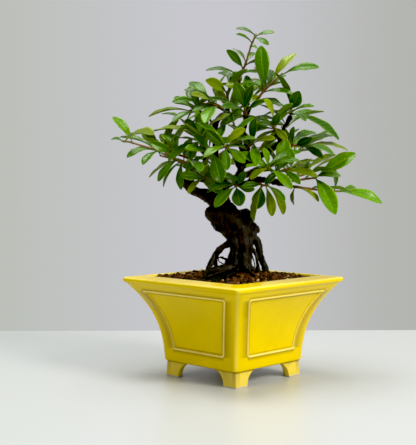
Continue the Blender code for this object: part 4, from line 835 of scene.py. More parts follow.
# Twigs: bark colours from the woody base to the green end
TWIG_COLOURS = [(0.045, 0.022, 0.012), (0.30, 0.085, 0.020), (0.17, 0.15, 0.012)]

# The trunk's surface, in millimetres
BARK_VOXEL = 0.62
BARK_STEP = 2.5
BARK_SIDES = 14
BARK_RIDGE = 1.0
BARK_GRAIN = 0.35
BARK_GRAIN_SCALE = 1.3
FURROW_SCALE = Vector((0.42, 0.42, 0.13))
FURROW_DEPTH = 2.2
LUMP_SCALE = 0.16
LUMP_SHIFT = Vector((5, 9, 2))

# Roots too thin for the solids, each a list of (x, y, z, radius) of the front drawing
THIN_ROOTS = {
    "left_air_root": [(-9.0, -6, 95, 0.6), (-11.0, -7, 90.5, 0.5), (-10.8, -8, 86, 0.45),
                      (-6.5, -9, 83, 0.45), (-5.0, -10, 78, 0.4)],
    "left_outer_root": [(-14.2, -6, 90, 0.55), (-17.6, -7, 86.5, 0.45), (-19.6, -8, 81, 0.45),
                        (-22.6, -9, 75.5, 0.4)],
    "front_air_root": [(2.0, -11.5, 99, 0.55), (-0.6, -12.4, 93, 0.5), (-0.4, -13, 86, 0.45),
                       (-3.4, -14, 77.5, 0.4)],
    "middle_air_root": [(6.6, -11.5, 101, 0.5), (5.0, -12.6, 93, 0.5), (5.6, -13, 85, 0.45),
                        (4.6, -14, 77.5, 0.4)],
    "right_air_root": [(14.0, -6, 100, 0.55), (13.6, -9, 93, 0.5), (15.4, -10, 86, 0.45),
                       (17.2, -11, 77, 0.4)],
    "right_outer_root": [(19.6, -3, 95, 0.5), (22.4, -4, 89, 0.45), (22.8, -5, 83, 0.4),
                         (25.6, -6, 76, 0.4)],
    "left_spread_root": [(0, -10, 84, 1.3), (-5, -15, 79.5, 1.3), (-10, -21, 77.3, 1.2),
                         (-15, -27, 75.6, 1.1), (-19, -32, 73.8, 0.9)],
    "front_spread_root": [(4, -11, 83, 1.3), (2.5, -17, 78.5, 1.3), (0, -24, 76.4, 1.2),
                          (-3, -31, 74.9, 1.1), (-5, -37, 73.4, 0.9)],
    "right_spread_root": [(10, -10, 82, 1.2), (11.5, -16, 78.3, 1.2), (13.5, -22, 76.3, 1.1),
                          (16, -27, 74.9, 0.9), (18, -31, 73.6, 0.8)],
    "back_air_root": [(6.0, 14, 96, 0.5), (9.4, 18, 89, 0.45), (9.0, 22, 81, 0.4), (11.0, 24, 75, 0.4)],
}

# The glaze: its gloss, its tones where it is even and speckled, its painted shade, where it is thin (partly
# a painted highlight), and the bare clay
GLAZE_GLOSS = (1.0, 0.86, 0.30, 1.0)
GLAZE_LOW = (0.74, 0.535, 0.0)
GLAZE_HIGH = (0.80, 0.590, 0.0)
GLAZE_SPECK = (0.58, 0.39, 0.0)
# Painted shade: dark lines beside the beads, under the lip and at the seam above the feet
GLAZE_PAINTED_SHADE = (0.30, 0.18, 0.001)
# Pale thin glaze on beads and edges, also a painted highlight along the corners and the lip
GLAZE_THIN_AND_HIGHLIGHT = (0.97, 0.84, 0.27)
CLAY_TONES = [(0.55, 0.46, 0.30), (0.72, 0.64, 0.46)]

# The pot's panels, corners and beads, in millimetres
PANEL_ROUND = 1.6
FINE_CORNER = 3.8
FINE_BEAD = 0.95
BEAD_STEPS = [0.4 * i for i in range(-3, 11)]
LIP = [(2.35, 69.7), (1.4, 70.3), (0.6, 71.0), (0.15, 71.8), (0.0, 72.6), (0.15, 73.2), (0.6, 73.8),
       (1.4, 74.15), (2.6, 74.35), (6.0, 74.7), (10.8, 75.25), (11.8, 75.38), (12.6, 75.3), (13.2, 74.9),
       (13.5, 74.2)]
INNER_HEIGHTS = (INNER_TOP, 60.0, 40.0, FLOOR_TOP)

# The moss mat's middle, half size and height (its near-black colour also paints the shade at the roots'
# foot), and the soil's grains, in millimetres
MOSS_PLACE = (-11.5, -26.0)
MOSS_SIZE = (14.5, 18.0)
MOSS_HEIGHT = 1.6
SOIL_BACK_DROP = 1.0
GRAIN_COUNT = 2200
GRAIN_SIZES = (1.0, 1.9)
GRAIN_TONES = [
    (0.130, 0.044, 0.010), (0.090, 0.030, 0.008), (0.180, 0.070, 0.018), (0.048, 0.017, 0.005),
    (0.022, 0.009, 0.004), (0.270, 0.120, 0.036), (0.008, 0.004, 0.002), (0.60, 0.42, 0.17),
]
SOIL_DARK = (0.030, 0.014, 0.007)
GRAIN_WEIGHTS = [5, 6, 3, 6, 6, 1.5, 4, 0.5]


def new_piece(name, points, faces):
    """A mesh from points in millimetres about the pot's axis."""
    mesh = bpy.data.meshes.new(name)
    mesh.from_pydata([tuple(Vector(point) * MM) for point in points], [], faces)
    return new_object(name, mesh)


def set_attribute(piece, name, kind, values):
    """A value for each of the piece's points, for its material to read."""
    layer = piece.data.attributes.new(name, kind, "POINT")
    key = {"FLOAT": "value", "FLOAT_VECTOR": "vector", "FLOAT_COLOR": "color"}[kind]
    layer.data.foreach_set(key, np.array(values, dtype=np.float32).ravel())


def install(piece, materials, slot, *nodes):
    """Put the piece in its place on the model, in its materials, for the nodes it stands for."""
    piece.data.transform(Matrix.Translation(SHIFT))
    piece.data.materials.clear()
    for used in materials:
        piece.data.materials.append(used)
    piece.data.shade_smooth()
    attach(piece, "root")
    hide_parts(*nodes)


# Materials

def shader(name, **values):
    """A new material, its node tree and its shader with the given values set."""
    made = bpy.data.materials.new(name)
    made.use_nodes = True
    bsdf = made.node_tree.nodes["Principled BSDF"]
    for key, value in values.items():
        bsdf.inputs[key.replace("_", " ")].default_value = value
    return made, made.node_tree, bsdf


def add(tree, kind, values=None, links=None, **settings):
    """A node with its settings, its inputs' values and what its inputs are linked from."""
    node = tree.nodes.new(kind)
    for key, value in settings.items():
        setattr(node, key, value)
    for key, value in (values or {}).items():
        node.inputs[key].default_value = value
    for key, source in (links or {}).items():
        tree.links.new(source, node.inputs[key])
    return node


def maths(tree, operation, first, second=None):
    """A Math node on one or two inputs, each a number or a socket."""
    node = tree.nodes.new("ShaderNodeMath")
    node.operation = operation
    for key, value in enumerate((first, second)):
        if isinstance(value, (int, float)):
            node.inputs[key].default_value = value
        elif value is not None:
            tree.links.new(value, node.inputs[key])
    return node.outputs[0]


def remap(tree, value, low, high, start=0.0, end=1.0):
    """The value's smooth run from start to end as it goes from low to high."""
    ends = {"From Min": low, "From Max": high, "To Min": start, "To Max": end}
    node = add(tree, "ShaderNodeMapRange", ends, {"Value": value}, interpolation_type="SMOOTHSTEP")
    return node.outputs[0]


def mixed(tree, share, first, second):
    """A colour between two, each a colour or a socket."""
    node = tree.nodes.new("ShaderNodeMix")
    node.data_type = "RGBA"
    for key, value in ((0, share), (6, first), (7, second)):
        if isinstance(value, (int, float)):
            node.inputs[key].default_value = value
        elif isinstance(value, tuple):
            node.inputs[key].default_value = (*value, 1)
        else:
            tree.links.new(value, node.inputs[key])
    return node.outputs[2]


def noise(tree, scale, detail=3.0, stretch=(1, 1, 1), roughness=0.55):
    """Noise fixed to the model: scale is in waves a metre."""
    place = tree.nodes.new("ShaderNodeTexCoord").outputs["Object"]
    mapping = add(tree, "ShaderNodeMapping", {"Scale": stretch}, {"Vector": place})
    return add(tree, "ShaderNodeTexNoise", {"Scale": scale, "Detail": detail, "Roughness": roughness},
               {"Vector": mapping.outputs[0]}).outputs["Fac"]


def bump(tree, bsdf, height, distance, strength=1.0):
    """A bump of the given height in metres on the shader."""
    node = add(tree, "ShaderNodeBump", {"Distance": distance, "Strength": strength}, {"Height": height})
    tree.links.new(node.outputs[0], bsdf.inputs["Normal"])


def leaf_material():
    """A glossy leaf: pale midrib, faint side veins, a painted highlight along its margin, a paler and
    duller underside.
    """
    made, tree, bsdf = shader("firethorn_leaf", Specular_IOR_Level=0.24, Specular_Tint=LEAF_GLOSS,
                              Coat_Weight=0.10, Coat_Roughness=0.12)
    tone = add(tree, "ShaderNodeAttribute", attribute_name="leaf_tone").outputs["Color"]
    place = add(tree, "ShaderNodeAttribute", attribute_name="leaf_place").outputs["Vector"]
    across, along, under = add(tree, "ShaderNodeSeparateXYZ", links={0: place}).outputs
    across = maths(tree, "ABSOLUTE", across)
    rib = remap(tree, across, 0.02, 0.11, 1.0, 0.0)
    phase = maths(tree, "SUBTRACT", maths(tree, "MULTIPLY", along, VEIN_TURNS),
                  maths(tree, "MULTIPLY", across, VEIN_SLANT))
    vein = remap(tree, maths(tree, "SINE", phase), 0.7, 1.0)
    vein = maths(tree, "MULTIPLY", vein, remap(tree, across, 0.75, 0.95, 1.0, 0.0))
    mottle = noise(tree, 420.0)
    colour = mixed(tree, remap(tree, mottle, 0.35, 0.7, 0.0, 0.35), tone, LEAF_SHADE)
    pale = mixed(tree, 0.6, tone, LEAF_LINE)
    lines = maths(tree, "MAXIMUM", maths(tree, "MULTIPLY", rib, 0.5), maths(tree, "MULTIPLY", vein, 0.12))
    # Painted highlight: a paler band along the leaf's margin
    painted_margin_highlight = maths(tree, "MULTIPLY", remap(tree, across, 0.80, 0.97), 0.75)
    colour = mixed(tree, maths(tree, "MAXIMUM", lines, painted_margin_highlight), colour, pale)
    below = mixed(tree, 0.45, tone, LEAF_UNDERSIDE)
    colour = mixed(tree, under, colour, below)
    tree.links.new(colour, bsdf.inputs["Base Color"])
    rough = remap(tree, noise(tree, 900.0), 0.3, 0.7, 0.24, 0.36)
    rough = maths(tree, "ADD", rough, maths(tree, "MULTIPLY", under, 0.22))
    tree.links.new(rough, bsdf.inputs["Roughness"])
    lines = maths(tree, "MAXIMUM", rib, vein)
    bump(tree, bsdf, maths(tree, "SUBTRACT", maths(tree, "MULTIPLY", mottle, 0.5), lines), 0.00018, 0.6)
    return made


def twig_material():
    """Young bark: its colour runs from the woody base to the green end."""
    made, tree, bsdf = shader("young_bark", Roughness=0.55)
    tone = add(tree, "ShaderNodeAttribute", attribute_name="leaf_tone").outputs["Color"]
    grain = noise(tree, 900.0)
    colour = mixed(tree, remap(tree, grain, 0.4, 0.7, 0.0, 0.5), tone, (0.03, 0.016, 0.008))
    tree.links.new(colour, bsdf.inputs["Base Color"])
    bump(tree, bsdf, grain, 0.00025)
    return made


def bark_material():
    """Old bark: near black in its furrows, brown on its ridges, with a green cast on the roots."""
    made, tree, bsdf = shader("old_bark", Specular_IOR_Level=0.22)
    ridge = add(tree, "ShaderNodeAttribute", attribute_name="ridge").outputs["Fac"]
    fine = noise(tree, 700.0, 5.0, (1, 1, 0.4))
    blotch = noise(tree, 90.0, 2.0)
    level = maths(tree, "ADD", maths(tree, "MULTIPLY", ridge, 0.7), maths(tree, "MULTIPLY", fine, 0.5))
    colour = mixed(tree, remap(tree, level, 0.5, 1.0), (0.0014, 0.0010, 0.0008), (0.020, 0.012, 0.006))
    red = mixed(tree, 0.5, colour, (0.034, 0.015, 0.006))
    colour = mixed(tree, remap(tree, blotch, 0.5, 0.75, 0.0, 0.6), colour, red)
    height = add(tree, "ShaderNodeSeparateXYZ",
                 links={0: tree.nodes.new("ShaderNodeTexCoord").outputs["Object"]}).outputs[2]
    low = remap(tree, height, 0.076, 0.100, 0.55, 0.0)
    moss = maths(tree, "MULTIPLY", low, remap(tree, noise(tree, 240.0, 4.0), 0.42, 0.6))
    colour = mixed(tree, moss, colour, (0.007, 0.011, 0.002))
    tree.links.new(colour, bsdf.inputs["Base Color"])
    tree.links.new(remap(tree, fine, 0.3, 0.7, 0.28, 0.60), bsdf.inputs["Roughness"])
    bump(tree, bsdf, maths(tree, "ADD", fine, maths(tree, "MULTIPLY", noise(tree, 2200.0), 0.3)), 0.0006)
    return made


def grain_material(name, colour=None):
    """Baked clay grains and crumbs of soil, in one colour or in each grain's own."""
    made, tree, bsdf = shader(name, Roughness=0.85, Specular_IOR_Level=0.25)
    tone = colour or add(tree, "ShaderNodeAttribute", attribute_name="grain_tone").outputs["Color"]
    speckle = noise(tree, 1500.0, 4.0)
    dark = mixed(tree, remap(tree, speckle, 0.42, 0.62, 0.0, 0.55), tone, (0.018, 0.009, 0.006))
    tree.links.new(dark, bsdf.inputs["Base Color"])
    bump(tree, bsdf, speckle, 0.0004)
    return made


def moss_and_shade_material():
    """Short dark moss with brown in it, near black as it also paints the shade at the foot of the roots."""
    made, tree, bsdf = shader("dark_moss_and_shade", Roughness=0.95, Specular_IOR_Level=0.15)
    tuft = noise(tree, 1300.0, 5.0)
    patch = noise(tree, 130.0, 3.0)
    # Near black: moss and painted shade at the foot of the roots
    colour = mixed(tree, remap(tree, tuft, 0.38, 0.66), (0.002, 0.003, 0.001), (0.013, 0.018, 0.003))
    colour = mixed(tree, remap(tree, patch, 0.45, 0.65, 0.0, 0.7), colour, (0.010, 0.006, 0.003))
    tree.links.new(colour, bsdf.inputs["Base Color"])
    bump(tree, bsdf, tuft, 0.0012)
    return made


def glaze_material():
    """Yellow glaze over pale clay: it thins on every bead and edge, with a painted highlight on the corners
    and the lip, painted shade beside the beads, under the lip and above the feet, and it stops above the
    foot ring.
    """
    made, tree, bsdf = shader("yellow_glaze", Specular_IOR_Level=0.18, Specular_Tint=GLAZE_GLOSS,
                              Coat_Weight=0.10, Coat_Roughness=0.06)
    thin = add(tree, "ShaderNodeAttribute", attribute_name="thin").outputs["Fac"]
    painted_shade = add(tree, "ShaderNodeAttribute", attribute_name="painted_shade").outputs["Fac"]
    under = add(tree, "ShaderNodeAttribute", attribute_name="bare").outputs["Fac"]
    place = tree.nodes.new("ShaderNodeTexCoord").outputs["Object"]
    height = add(tree, "ShaderNodeSeparateXYZ", links={0: place}).outputs[2]
    ragged = maths(tree, "ADD", height, maths(tree, "MULTIPLY", noise(tree, 300.0), 0.0006))
    bare = maths(tree, "MAXIMUM", under, remap(tree, ragged, 0.0010, 0.0016, 1.0, 0.0))
    cloud = noise(tree, 26.0, 3.0)
    fine = noise(tree, 330.0, 4.0)
    colour = mixed(tree, remap(tree, cloud, 0.3, 0.7), GLAZE_LOW, GLAZE_HIGH)
    colour = mixed(tree, remap(tree, fine, 0.55, 0.75, 0.0, 0.15), colour, GLAZE_SPECK)
    # Painted shade beside the beads, under the lip and above the feet
    colour = mixed(tree, maths(tree, "MULTIPLY", painted_shade, 0.75), colour, GLAZE_PAINTED_SHADE)
    # Thin glaze on beads and edges, partly a painted highlight on the corners and the lip
    edge = maths(tree, "MULTIPLY", thin, remap(tree, fine, 0.2, 0.6, 0.6, 1.0))
    edge = maths(tree, "MAXIMUM", edge, remap(tree, height, 0.0104, 0.0110, 0.28, 0.0))
    colour = mixed(tree, edge, colour, GLAZE_THIN_AND_HIGHLIGHT)
    clay = mixed(tree, fine, *CLAY_TONES)
    colour = mixed(tree, bare, colour, clay)
    tree.links.new(colour, bsdf.inputs["Base Color"])
    rough = maths(tree, "ADD", remap(tree, fine, 0.3, 0.7, 0.16, 0.26), maths(tree, "MULTIPLY", bare, 0.6))
    tree.links.new(rough, bsdf.inputs["Roughness"])
    cells = add(tree, "ShaderNodeTexVoronoi", {"Scale": 210.0}, {"Vector": place}).outputs["Distance"]
    pits = remap(tree, cells, 0.03, 0.12, -1.0, 0.0)
    wave = maths(tree, "ADD", maths(tree, "MULTIPLY", cloud, 3.0), maths(tree, "MULTIPLY", pits, 0.25))
    bump(tree, bsdf, wave, 0.0004, 0.5)
    return made


def plain_material(name, colour, roughness, metallic=0.0):
    """One colour with a little grain in it."""
    made, tree, bsdf = shader(name, Roughness=roughness, Metallic=metallic)
    grain = noise(tree, 400.0)
    shade = mixed(tree, remap(tree, grain, 0.3, 0.7), tuple(0.8 * part for part in colour), colour)
    tree.links.new(shade, bsdf.inputs["Base Color"])
    bump(tree, bsdf, grain, 0.0001)
    return made


# Leafy shoots

def leaf_outline(share):
    """Half width, as a share of the widest, of a long leaf that is broadest past its middle."""
    return max(0.0, math.sin(math.pi * share ** 1.6)) ** (0.95 - 0.35 * share)


def fine_leaf(leaf, rng):
    """A thin, folded, slightly twisted leaf: points, faces, and (across, along, under) for each point."""
    chord = leaf.tip - leaf.start
    side = chord.cross(leaf.normal).normalized()
    fold = rng.uniform(*LEAF_FOLDS)
    roll = rng.uniform(*LEAF_ROLLS)
    twist = rng.uniform(*LEAF_TWISTS)
    sway = rng.uniform(*LEAF_SWAYS) * chord.length
    wave_turns = rng.uniform(*EDGE_WAVES)
    wave_start = rng.uniform(0, 6.28)
    tops, bottoms, places = [], [], []
    for row in range(LEAF_ROWS + 1):
        share = math.sin(math.pi / 2 * row / LEAF_ROWS) ** 1.15
        half = max(leaf.width / 2 * leaf_outline(min(share, 0.9985)), PETIOLE_HALF * 0.9 * (share < 0.3))
        slope = chord + leaf.normal * (leaf.arch * 4 * (1 - 2 * share))
        upper = side.cross(slope).normalized()
        if upper.dot(leaf.normal) < 0:
            upper.negate()
        turn = Matrix.Rotation(twist * (share - 0.3), 3, slope.normalized())
        across = turn @ side
        upper = turn @ upper
        middle = spine_point(leaf, share) + side * (sway * math.sin(math.pi * share))
        for column in range(LEAF_COLUMNS + 1):
            u = 2 * column / LEAF_COLUMNS - 1
            soft = math.sqrt(u * u + 0.01) - 0.1
            phase = wave_turns * 6.28 * share + wave_start + 2.2 * (u > 0)
            wave = EDGE_WAVE_HEIGHT * abs(u) ** 2 * math.sin(phase)
            lift = half * (fold * soft - roll * u * u + wave - (fold - roll) * 0.6)
            thick = LEAF_THIN * (1 - 0.6 * u * u) + RIB_THICK * max(0.0, 1 - abs(u) * 5) * (1.2 - share)
            top = middle + across * (half * u * (1 - 0.06 * fold)) + upper * lift
            tops.append(top)
            bottoms.append(top - upper * thick)
            places.append((u, share))
    width = LEAF_COLUMNS + 1
    count = len(tops)
    faces = []
    for row in range(LEAF_ROWS):
        for column in range(LEAF_COLUMNS):
            first = row * width + column
            faces.append((first, first + 1, first + width + 1, first + width))
            below = count + first
            faces.append((below, below + width, below + width + 1, below + 1))
    rim = list(range(width))
    rim += [row * width + LEAF_COLUMNS for row in range(1, LEAF_ROWS + 1)]
    rim += list(range(LEAF_ROWS * width + LEAF_COLUMNS - 1, LEAF_ROWS * width - 1, -1))
    rim += [row * width for row in range(LEAF_ROWS - 1, 0, -1)]
    for here, after in zip(rim, rim[1:] + rim[:1]):
        faces.append((here, count + here, count + after, after))
    marks = [(u, share, 0.0) for u, share in places] + [(u, share, 1.0) for u, share in places]
    return tops + bottoms, faces, marks


def twig_colour(share, rng):
    """The young bark's colour at a share of the twig's length."""
    reach = min(1.999, max(0.0, share * 2))
    first, last = TWIG_COLOURS[int(reach)], TWIG_COLOURS[int(reach) + 1]
    blend = reach - int(reach)
    shade = rng.uniform(0.85, 1.15)
    return tuple(shade * (a + (b - a) * blend) for a, b in zip(first, last))


def fine_twig(route, leaves, rng):
    """A twig's skin: points, faces and colours, thicker where a leaf leaves it."""
    sides = 8
    step = 3
    picked = route[::step]
    if len(route) % step != 1:
        picked = picked + [route[-1]]
    total = route[-1][2] - route[0][2]
    points, colours = [], []
    along = (picked[1][0] - picked[0][0]).normalized()
    first = along.orthogonal().normalized()
    for index, (place, _, length) in enumerate(picked):
        after = picked[min(index + 1, len(picked) - 1)][0]
        before = picked[max(index - 1, 0)][0]
        along = (after - before).normalized()
        first = (first - along * first.dot(along)).normalized()
        second = along.cross(first)
        share = (length - route[0][2]) / total
        near = min((leaf.start - place).length for leaf in leaves)
        radius = twig_radius(share) * (0.82 + 0.3 * math.exp(-(near / 1.1) ** 2))
        if index == len(picked) - 1:
            radius *= 0.35
        for corner in range(sides):
            angle = 2 * math.pi * corner / sides
            points.append(place + (first * math.cos(angle) + second * math.sin(angle)) * radius)
            colours.append(twig_colour(share, rng))
    faces = [tuple(reversed(range(sides)))]
    for row in range(len(picked) - 1):
        for corner in range(sides):
            after = (corner + 1) % sides
            faces.append((row * sides + corner, row * sides + after,
                          (row + 1) * sides + after, (row + 1) * sides + corner))
    faces.append(tuple((len(picked) - 1) * sides + corner for corner in range(sides)))
    return points, faces, colours


def dress_shoot(name, number, route, leaves, materials):
    """One leafy shoot: its fine leaves and its twig."""
    rng = random.Random(1000 + number)
    shown = SHOWN_TONES.get(name, {})
    points, faces, tones, marks, kinds = [], [], [], [], []
    total = route[-1][2] - route[0][2]
    for index, leaf in enumerate(leaves):
        young = (leaf.start - route[0][0]).length > 0.7 * total
        tone = LEAF_TONES[shown.get(index) or rng.choice(YOUNG_MIX if young else TONE_MIX)]
        shade = rng.uniform(0.85, 1.15)
        some_points, some_faces, some_marks = fine_leaf(leaf, rng)
        first = len(points)
        points += some_points
        faces += [tuple(first + i for i in face) for face in some_faces]
        kinds += [0] * len(some_faces)
        marks += some_marks
        tones += [(*(shade * part for part in tone), 1)] * len(some_points)
    some_points, some_faces, colours = fine_twig(route, leaves, rng)
    first = len(points)
    points += some_points
    faces += [tuple(first + i for i in face) for face in some_faces]
    kinds += [1] * len(some_faces)
    marks += [(0, 0, 0)] * len(some_points)
    tones += [(*colour, 1) for colour in colours]
    piece = new_piece(name + "_leaves", points, faces)
    set_attribute(piece, "leaf_tone", "FLOAT_COLOR", tones)
    set_attribute(piece, "leaf_place", "FLOAT_VECTOR", marks)
    install(piece, materials, "leaf", name)
    piece.data.polygons.foreach_set("material_index", kinds)


# Trunk

def dress_trunk(used):
    """The trunk's strands drawn finely, melted together and given furrowed bark."""
    tubes = []
    for name, strand in WOOD.items():
        rows = curve_through(strand, BARK_STEP)
        places = [drawn(*row[:3]) for row in rows]
        radii = [max(0.8, row[3]) for row in rows]
        tubes.append(tube("fine_" + name, places, radii, BARK_SIDES))
    body = bmesh.new()
    for made in tubes:
        body.from_mesh(made.data)
        bpy.data.objects.remove(made)
    mesh = bpy.data.meshes.new("trunk_bark")
    body.to_mesh(mesh)
    body.free()
    piece = new_object("trunk_bark", mesh)
    remesh = piece.modifiers.new("melt", "REMESH")
    remesh.mode = "VOXEL"
    remesh.voxel_size = BARK_VOXEL * MM
    smooth = piece.modifiers.new("smooth", "SMOOTH")
    smooth.factor = 0.5
    smooth.iterations = 6
    piece = evaluated_copy(piece)
    ridges = []
    places = []
    for place, normal in [(vertex.co / MM, vertex.normal.copy()) for vertex in piece.data.vertices]:
        ridge = 1 - abs(noise_at(place * FURROW_SCALE)) * FURROW_DEPTH
        lumps = noise_at(place * LUMP_SCALE + LUMP_SHIFT)
        grain = noise_at(place * BARK_GRAIN_SCALE)
        lift = ridge * BARK_RIDGE * 0.6 + lumps * BARK_RIDGE + grain * BARK_GRAIN
        places.append((place + normal * lift) * MM)
        ridges.append(min(1.0, max(0.0, 0.5 + 0.45 * ridge + 0.25 * grain)))
    piece.data.vertices.foreach_set("co", np.array(places, dtype=np.float32).ravel())
    set_attribute(piece, "ridge", "FLOAT", ridges)
    install(piece, [used], "bark", "trunk")
    piece.name = "trunk_bark"


def dress_thin_roots(used):
    """The thin roots that hang between the thick ones, down into the soil."""
    for name, strand in THIN_ROOTS.items():
        rows = curve_through(strand, 1.0)
        rng = random.Random(name)
        places = [drawn(row[0] + rng.uniform(-0.2, 0.2), row[1], row[2]) for row in rows]
        piece = tube(name, places, [row[3] * rng.uniform(0.8, 1.2) for row in rows], 8)
        set_attribute(piece, "ridge", "FLOAT", [rng.uniform(0.3, 0.8) for _ in piece.data.vertices])
        install(piece, [used], "bark", "trunk")


# Soil

def rock_shapes(rng, count):
    """Lumpy grains of unit size."""
    shapes = []
    for _ in range(count):
        body = bmesh.new()
        bmesh.ops.create_icosphere(body, subdivisions=2, radius=1.0)
        offset = Vector((rng.uniform(0, 50), rng.uniform(0, 50), rng.uniform(0, 50)))
        stretch = Vector((rng.uniform(0.8, 1.25), rng.uniform(0.7, 1.0), rng.uniform(0.6, 0.95)))
        points = [v.co * stretch * (1 + 0.45 * noise_at(v.co * 1.1 + offset)) for v in body.verts]
        faces = [tuple(v.index for v in face.verts) for face in body.faces]
        body.free()
        shapes.append((points, faces))
    return shapes


def grid_faces(cells):
    """The faces of a square grid with a number of cells a side."""
    width = cells + 1
    return [(row * width + column, row * width + column + 1, (row + 1) * width + column + 1,
             (row + 1) * width + column) for row in range(cells) for column in range(cells)]


def soil_height(across, along):
    """The soil's crown at a place given as shares of its half width, lower towards the back."""
    back = min(1.0, max(0.0, 0.5 * (across + along) - 0.2) * 3)
    return SOIL_EDGE + SOIL_CROWN * (1 - across ** 2) * (1 - along ** 2) - SOIL_BACK_DROP * back


def dress_grains(used):
    """The loose grains that lie on the soil."""
    rng = random.Random(21)
    turn = Matrix.Rotation(POT_TURN, 3, "Z")
    half = inner_half(SOIL_EDGE) - SOIL_GAP
    shapes = rock_shapes(rng, 12)
    points, faces, tones = [], [], []
    for _ in range(GRAIN_COUNT):
        size = rng.uniform(*GRAIN_SIZES) * rng.choice((0.7, 1.0, 1.0, 1.25))
        reach = 1 - size / half
        across, along = rng.uniform(-reach, reach), rng.uniform(-reach, reach)
        height = soil_height(across, along) + rng.uniform(-1.8, 0.2) - 0.2 * size
        place = turn @ Vector((half * across, half * along, height))
        if moss_rise(place) > 0.3:
            continue
        spin = Euler((rng.uniform(0, 6.28), rng.uniform(0, 6.28), rng.uniform(0, 6.28))).to_matrix()
        shape, shape_faces = rng.choice(shapes)
        tone = rng.choices(GRAIN_TONES, GRAIN_WEIGHTS)[0]
        shade = rng.uniform(0.75, 1.25)
        first = len(points)
        points += [place + spin @ point * size for point in shape]
        faces += [tuple(first + i for i in face) for face in shape_faces]
        tones += [(*(shade * part for part in tone), 1)] * len(shape)
    piece = new_piece("soil_grains", points, faces)
    set_attribute(piece, "grain_tone", "FLOAT_COLOR", tones)
    install(piece, [used], "soil", "soil")


def dress_bed(used):
    """The bed of soil under the loose grains, down to the pot's floor."""
    cells = 60
    turn = Matrix.Rotation(POT_TURN, 3, "Z")
    half = inner_half(SOIL_EDGE) - SOIL_GAP
    low_half = inner_half(SOIL_LOW) - SOIL_GAP
    points = []
    for row in range(cells + 1):
        for column in range(cells + 1):
            across, along = 2 * column / cells - 1, 2 * row / cells - 1
            height = soil_height(across, along) - 0.8 + 0.5 * noise_at(Vector((across * 14, along * 14, 3)))
            points.append(turn @ Vector((half * across, half * along, height)))
    width = cells + 1
    faces = grid_faces(cells)
    edge = [column for column in range(cells)] + [row * width + cells for row in range(cells)]
    edge += [cells * width + column for column in range(cells, 0, -1)]
    edge += [row * width for row in range(cells, 0, -1)]
    low = len(points)
    for index in edge:
        place = turn.inverted() @ points[index]
        points.append(turn @ Vector((place.x * low_half / half, place.y * low_half / half, SOIL_LOW)))
    count = len(edge)
    for i in range(count):
        after = (i + 1) % count
        faces.append((edge[after], edge[i], low + i, low + after))
    faces.append(tuple(low + i for i in reversed(range(count))))
    piece = new_piece("soil_bed", points, faces)
    install(piece, [used], "soil", "soil")


def moss_rise(place):
    """How far inside the moss mat's ragged edge a place is: 0 on the edge, 1 in the middle."""
    across, along = (place.x - MOSS_PLACE[0]) / MOSS_SIZE[0], (place.y - MOSS_PLACE[1]) / MOSS_SIZE[1]
    bay = 1 + 0.45 * noise_at(Vector((across * 2.1, along * 2.1, 7)))
    return 1 - (across * across + along * along) * bay


def dress_moss_and_shade(used):
    """A low mat of dark moss on the soil at the foot of the roots, near black as it also stands for the
    painted shade there.
    """
    cells = 60
    points = []
    for row in range(cells + 1):
        for column in range(cells + 1):
            place = Vector((MOSS_PLACE[0] + MOSS_SIZE[0] * (2 * column / cells - 1),
                            MOSS_PLACE[1] + MOSS_SIZE[1] * (2 * row / cells - 1), 0))
            local = Matrix.Rotation(-POT_TURN, 3, "Z") @ place / (inner_half(SOIL_EDGE) - SOIL_GAP)
            rise = moss_rise(place)
            tufts = 0.6 * noise_at(place * 0.5) + 0.5 * noise_at(place * 1.3)
            place.z = soil_height(local.x, local.y) + MOSS_HEIGHT * min(0.8, rise)
            place.z += tufts * (rise > -0.2) - 0.4
            points.append(place)
    piece = new_piece("moss_and_shade_mat", points, grid_faces(cells))
    install(piece, [used], "soil", "soil")


# Pot

def panel_inside(half, along, height):
    """How far a place on the wall lies inside the middle line of its panel's round-cornered bead."""
    across = min(along, 2 * half - along) - PANEL_MARGIN
    up = min(height - PANEL_LOW, PANEL_HIGH - height)
    if across < PANEL_ROUND and up < PANEL_ROUND:
        return PANEL_ROUND - math.hypot(PANEL_ROUND - across, PANEL_ROUND - up)
    return min(across, up)


def relief(half, along, height):
    """How far the wall stands out: a rounded bead round a panel that lies a little deeper."""
    inside = panel_inside(half, along, height)
    bead = FINE_BEAD * max(0.0, 1 - (inside / (BEAD_WIDTH * 0.6)) ** 2) ** 0.7
    depth = min(1.0, max(0.0, inside / (BEAD_WIDTH * 0.6)))
    return bead - PANEL_DEPTH * depth * depth * (3 - 2 * depth)


def fine_ring(half, height, radius, carved):
    """One turn round the pot with round corners and enough points for the panels' beads."""
    ring = []
    share = min(1.0, half / BASE_HALF)
    edge = [(PANEL_MARGIN + step) * share for step in BEAD_STEPS]
    inner = [edge[-1] + (2 * half - 2 * edge[-1]) * i / 12 for i in range(1, 12)]
    columns = edge + inner + [2 * half - step for step in reversed(edge)]
    for quarter in range(4):
        turn = Matrix.Rotation(quarter * math.pi / 2 + POT_TURN, 3, "Z")
        for bend in range(0, 91, 15):
            angle = math.radians(bend - 90)
            corner = Vector((half - radius, -half + radius, height))
            ring.append(turn @ (corner + radius * Vector((math.cos(angle), math.sin(angle), 0))))
        for along in columns:
            out = relief(half, along, height) if carved else 0.0
            ring.append(turn @ Vector((half + out, -half + along, height)))
    return ring


